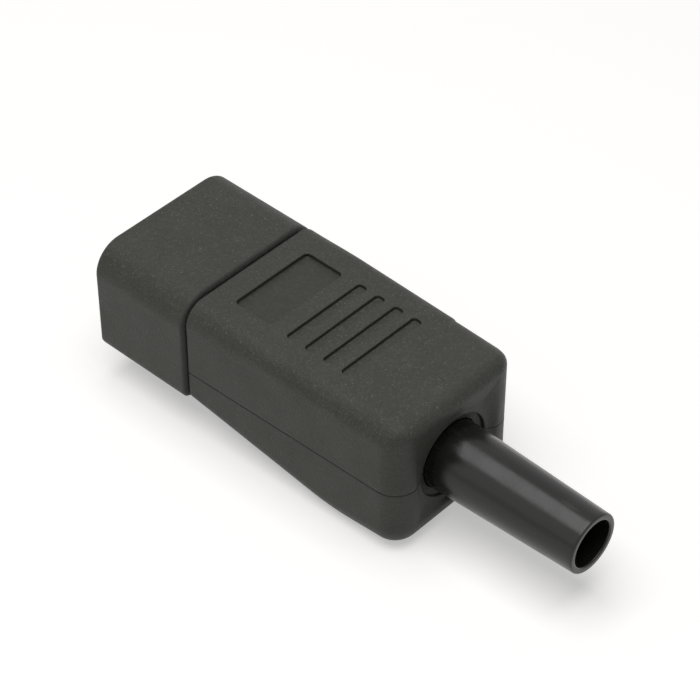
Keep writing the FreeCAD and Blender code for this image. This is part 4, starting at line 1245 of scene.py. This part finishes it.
class CONNECTOR_OT_stage(bpy.types.Operator):
    """Set the white floor, the soft lamps and the camera"""

    bl_idname = "connector.stage"
    bl_label = "Stage"

    def execute(self, context):
        studio = context.scene.connector_studio
        scene = context.scene
        scene.view_settings.view_transform = "Standard"
        low = CAD_BOX[0].z
        side = 1.5
        corners = [(-side, -side, low), (side, -side, low), (side, side, low), (-side, side, low)]
        mesh = bpy.data.meshes.new("floor")
        mesh.from_pydata(corners, [], [(0, 1, 2, 3)])
        floor = bpy.data.objects.new("floor", mesh)
        scene.collection.objects.link(floor)
        floor.data.materials.append(floor_paper())
        scene.world = studio_world(studio.sky)
        middle = Vector((0.034, 0.0, 0.0))
        lamps = (
            ("key", (0.03, -0.06, 0.46), 0.42, studio.key_power),
            ("fill", (-0.12, -0.45, 0.30), 0.35, studio.fill_power),
        )
        for name, place, size, power in lamps:
            data = bpy.data.lights.new(name, "AREA")
            data.shape = "SQUARE"
            data.size = size
            data.energy = power
            stand(name, data, Vector(place), middle)

        data = bpy.data.cameras.new("camera")
        data.lens = studio.focal_length
        data.sensor_width = 36.0
        data.clip_start = 0.01
        data.clip_end = 10.0
        azimuth, elevation, distance = math.radians(42.9), math.radians(42.7), 0.3233
        level = math.cos(elevation)
        back = (math.sin(azimuth) * level, -math.cos(azimuth) * level, math.sin(elevation))
        aim = Vector((0.03048, 0.00284, 0.0))
        scene.camera = stand("camera", data, aim + Vector(back) * distance, aim)
        return {"FINISHED"}


class CONNECTOR_PT_panel(bpy.types.Panel):
    """Sizes, finishes and pieces of the connector."""

    bl_idname = "CONNECTOR_PT_panel"
    bl_label = "Connector"
    bl_space_type = "VIEW_3D"
    bl_region_type = "UI"
    bl_category = "Connector"

    def draw(self, context):
        layout = self.layout
        for group in ("connector_form", "connector_finish", "connector_studio"):
            box = layout.box()
            settings = getattr(context.scene, group)
            for key in settings.__annotations__:
                box.prop(settings, key)
        for operator in OPERATORS:
            layout.operator(operator.bl_idname)


OPERATORS = (
    CONNECTOR_OT_upper_shell,
    CONNECTOR_OT_lower_shell,
    CONNECTOR_OT_nose,
    CONNECTOR_OT_sleeve,
    CONNECTOR_OT_metal,
    CONNECTOR_OT_clamp,
    CONNECTOR_OT_stage,
)
GROUPS = (
    ("connector_form", ConnectorForm),
    ("connector_finish", ConnectorFinish),
    ("connector_studio", ConnectorStudio),
)


def register():
    for name, group in GROUPS:
        bpy.utils.register_class(group)
        setattr(bpy.types.Scene, name, PointerProperty(type=group))
    for operator in OPERATORS:
        bpy.utils.register_class(operator)
    bpy.utils.register_class(CONNECTOR_PT_panel)


def unregister():
    bpy.utils.unregister_class(CONNECTOR_PT_panel)
    for operator in reversed(OPERATORS):
        bpy.utils.unregister_class(operator)
    for name, group in reversed(GROUPS):
        delattr(bpy.types.Scene, name)
        bpy.utils.unregister_class(group)


def main():
    """Register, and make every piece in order."""
    register()
    bpy.ops.connector.upper_shell()
    bpy.ops.connector.lower_shell()
    bpy.ops.connector.nose()
    bpy.ops.connector.sleeve()
    bpy.ops.connector.metal()
    bpy.ops.connector.clamp()
    bpy.ops.connector.stage()


if __name__ == "__main__":
    main()
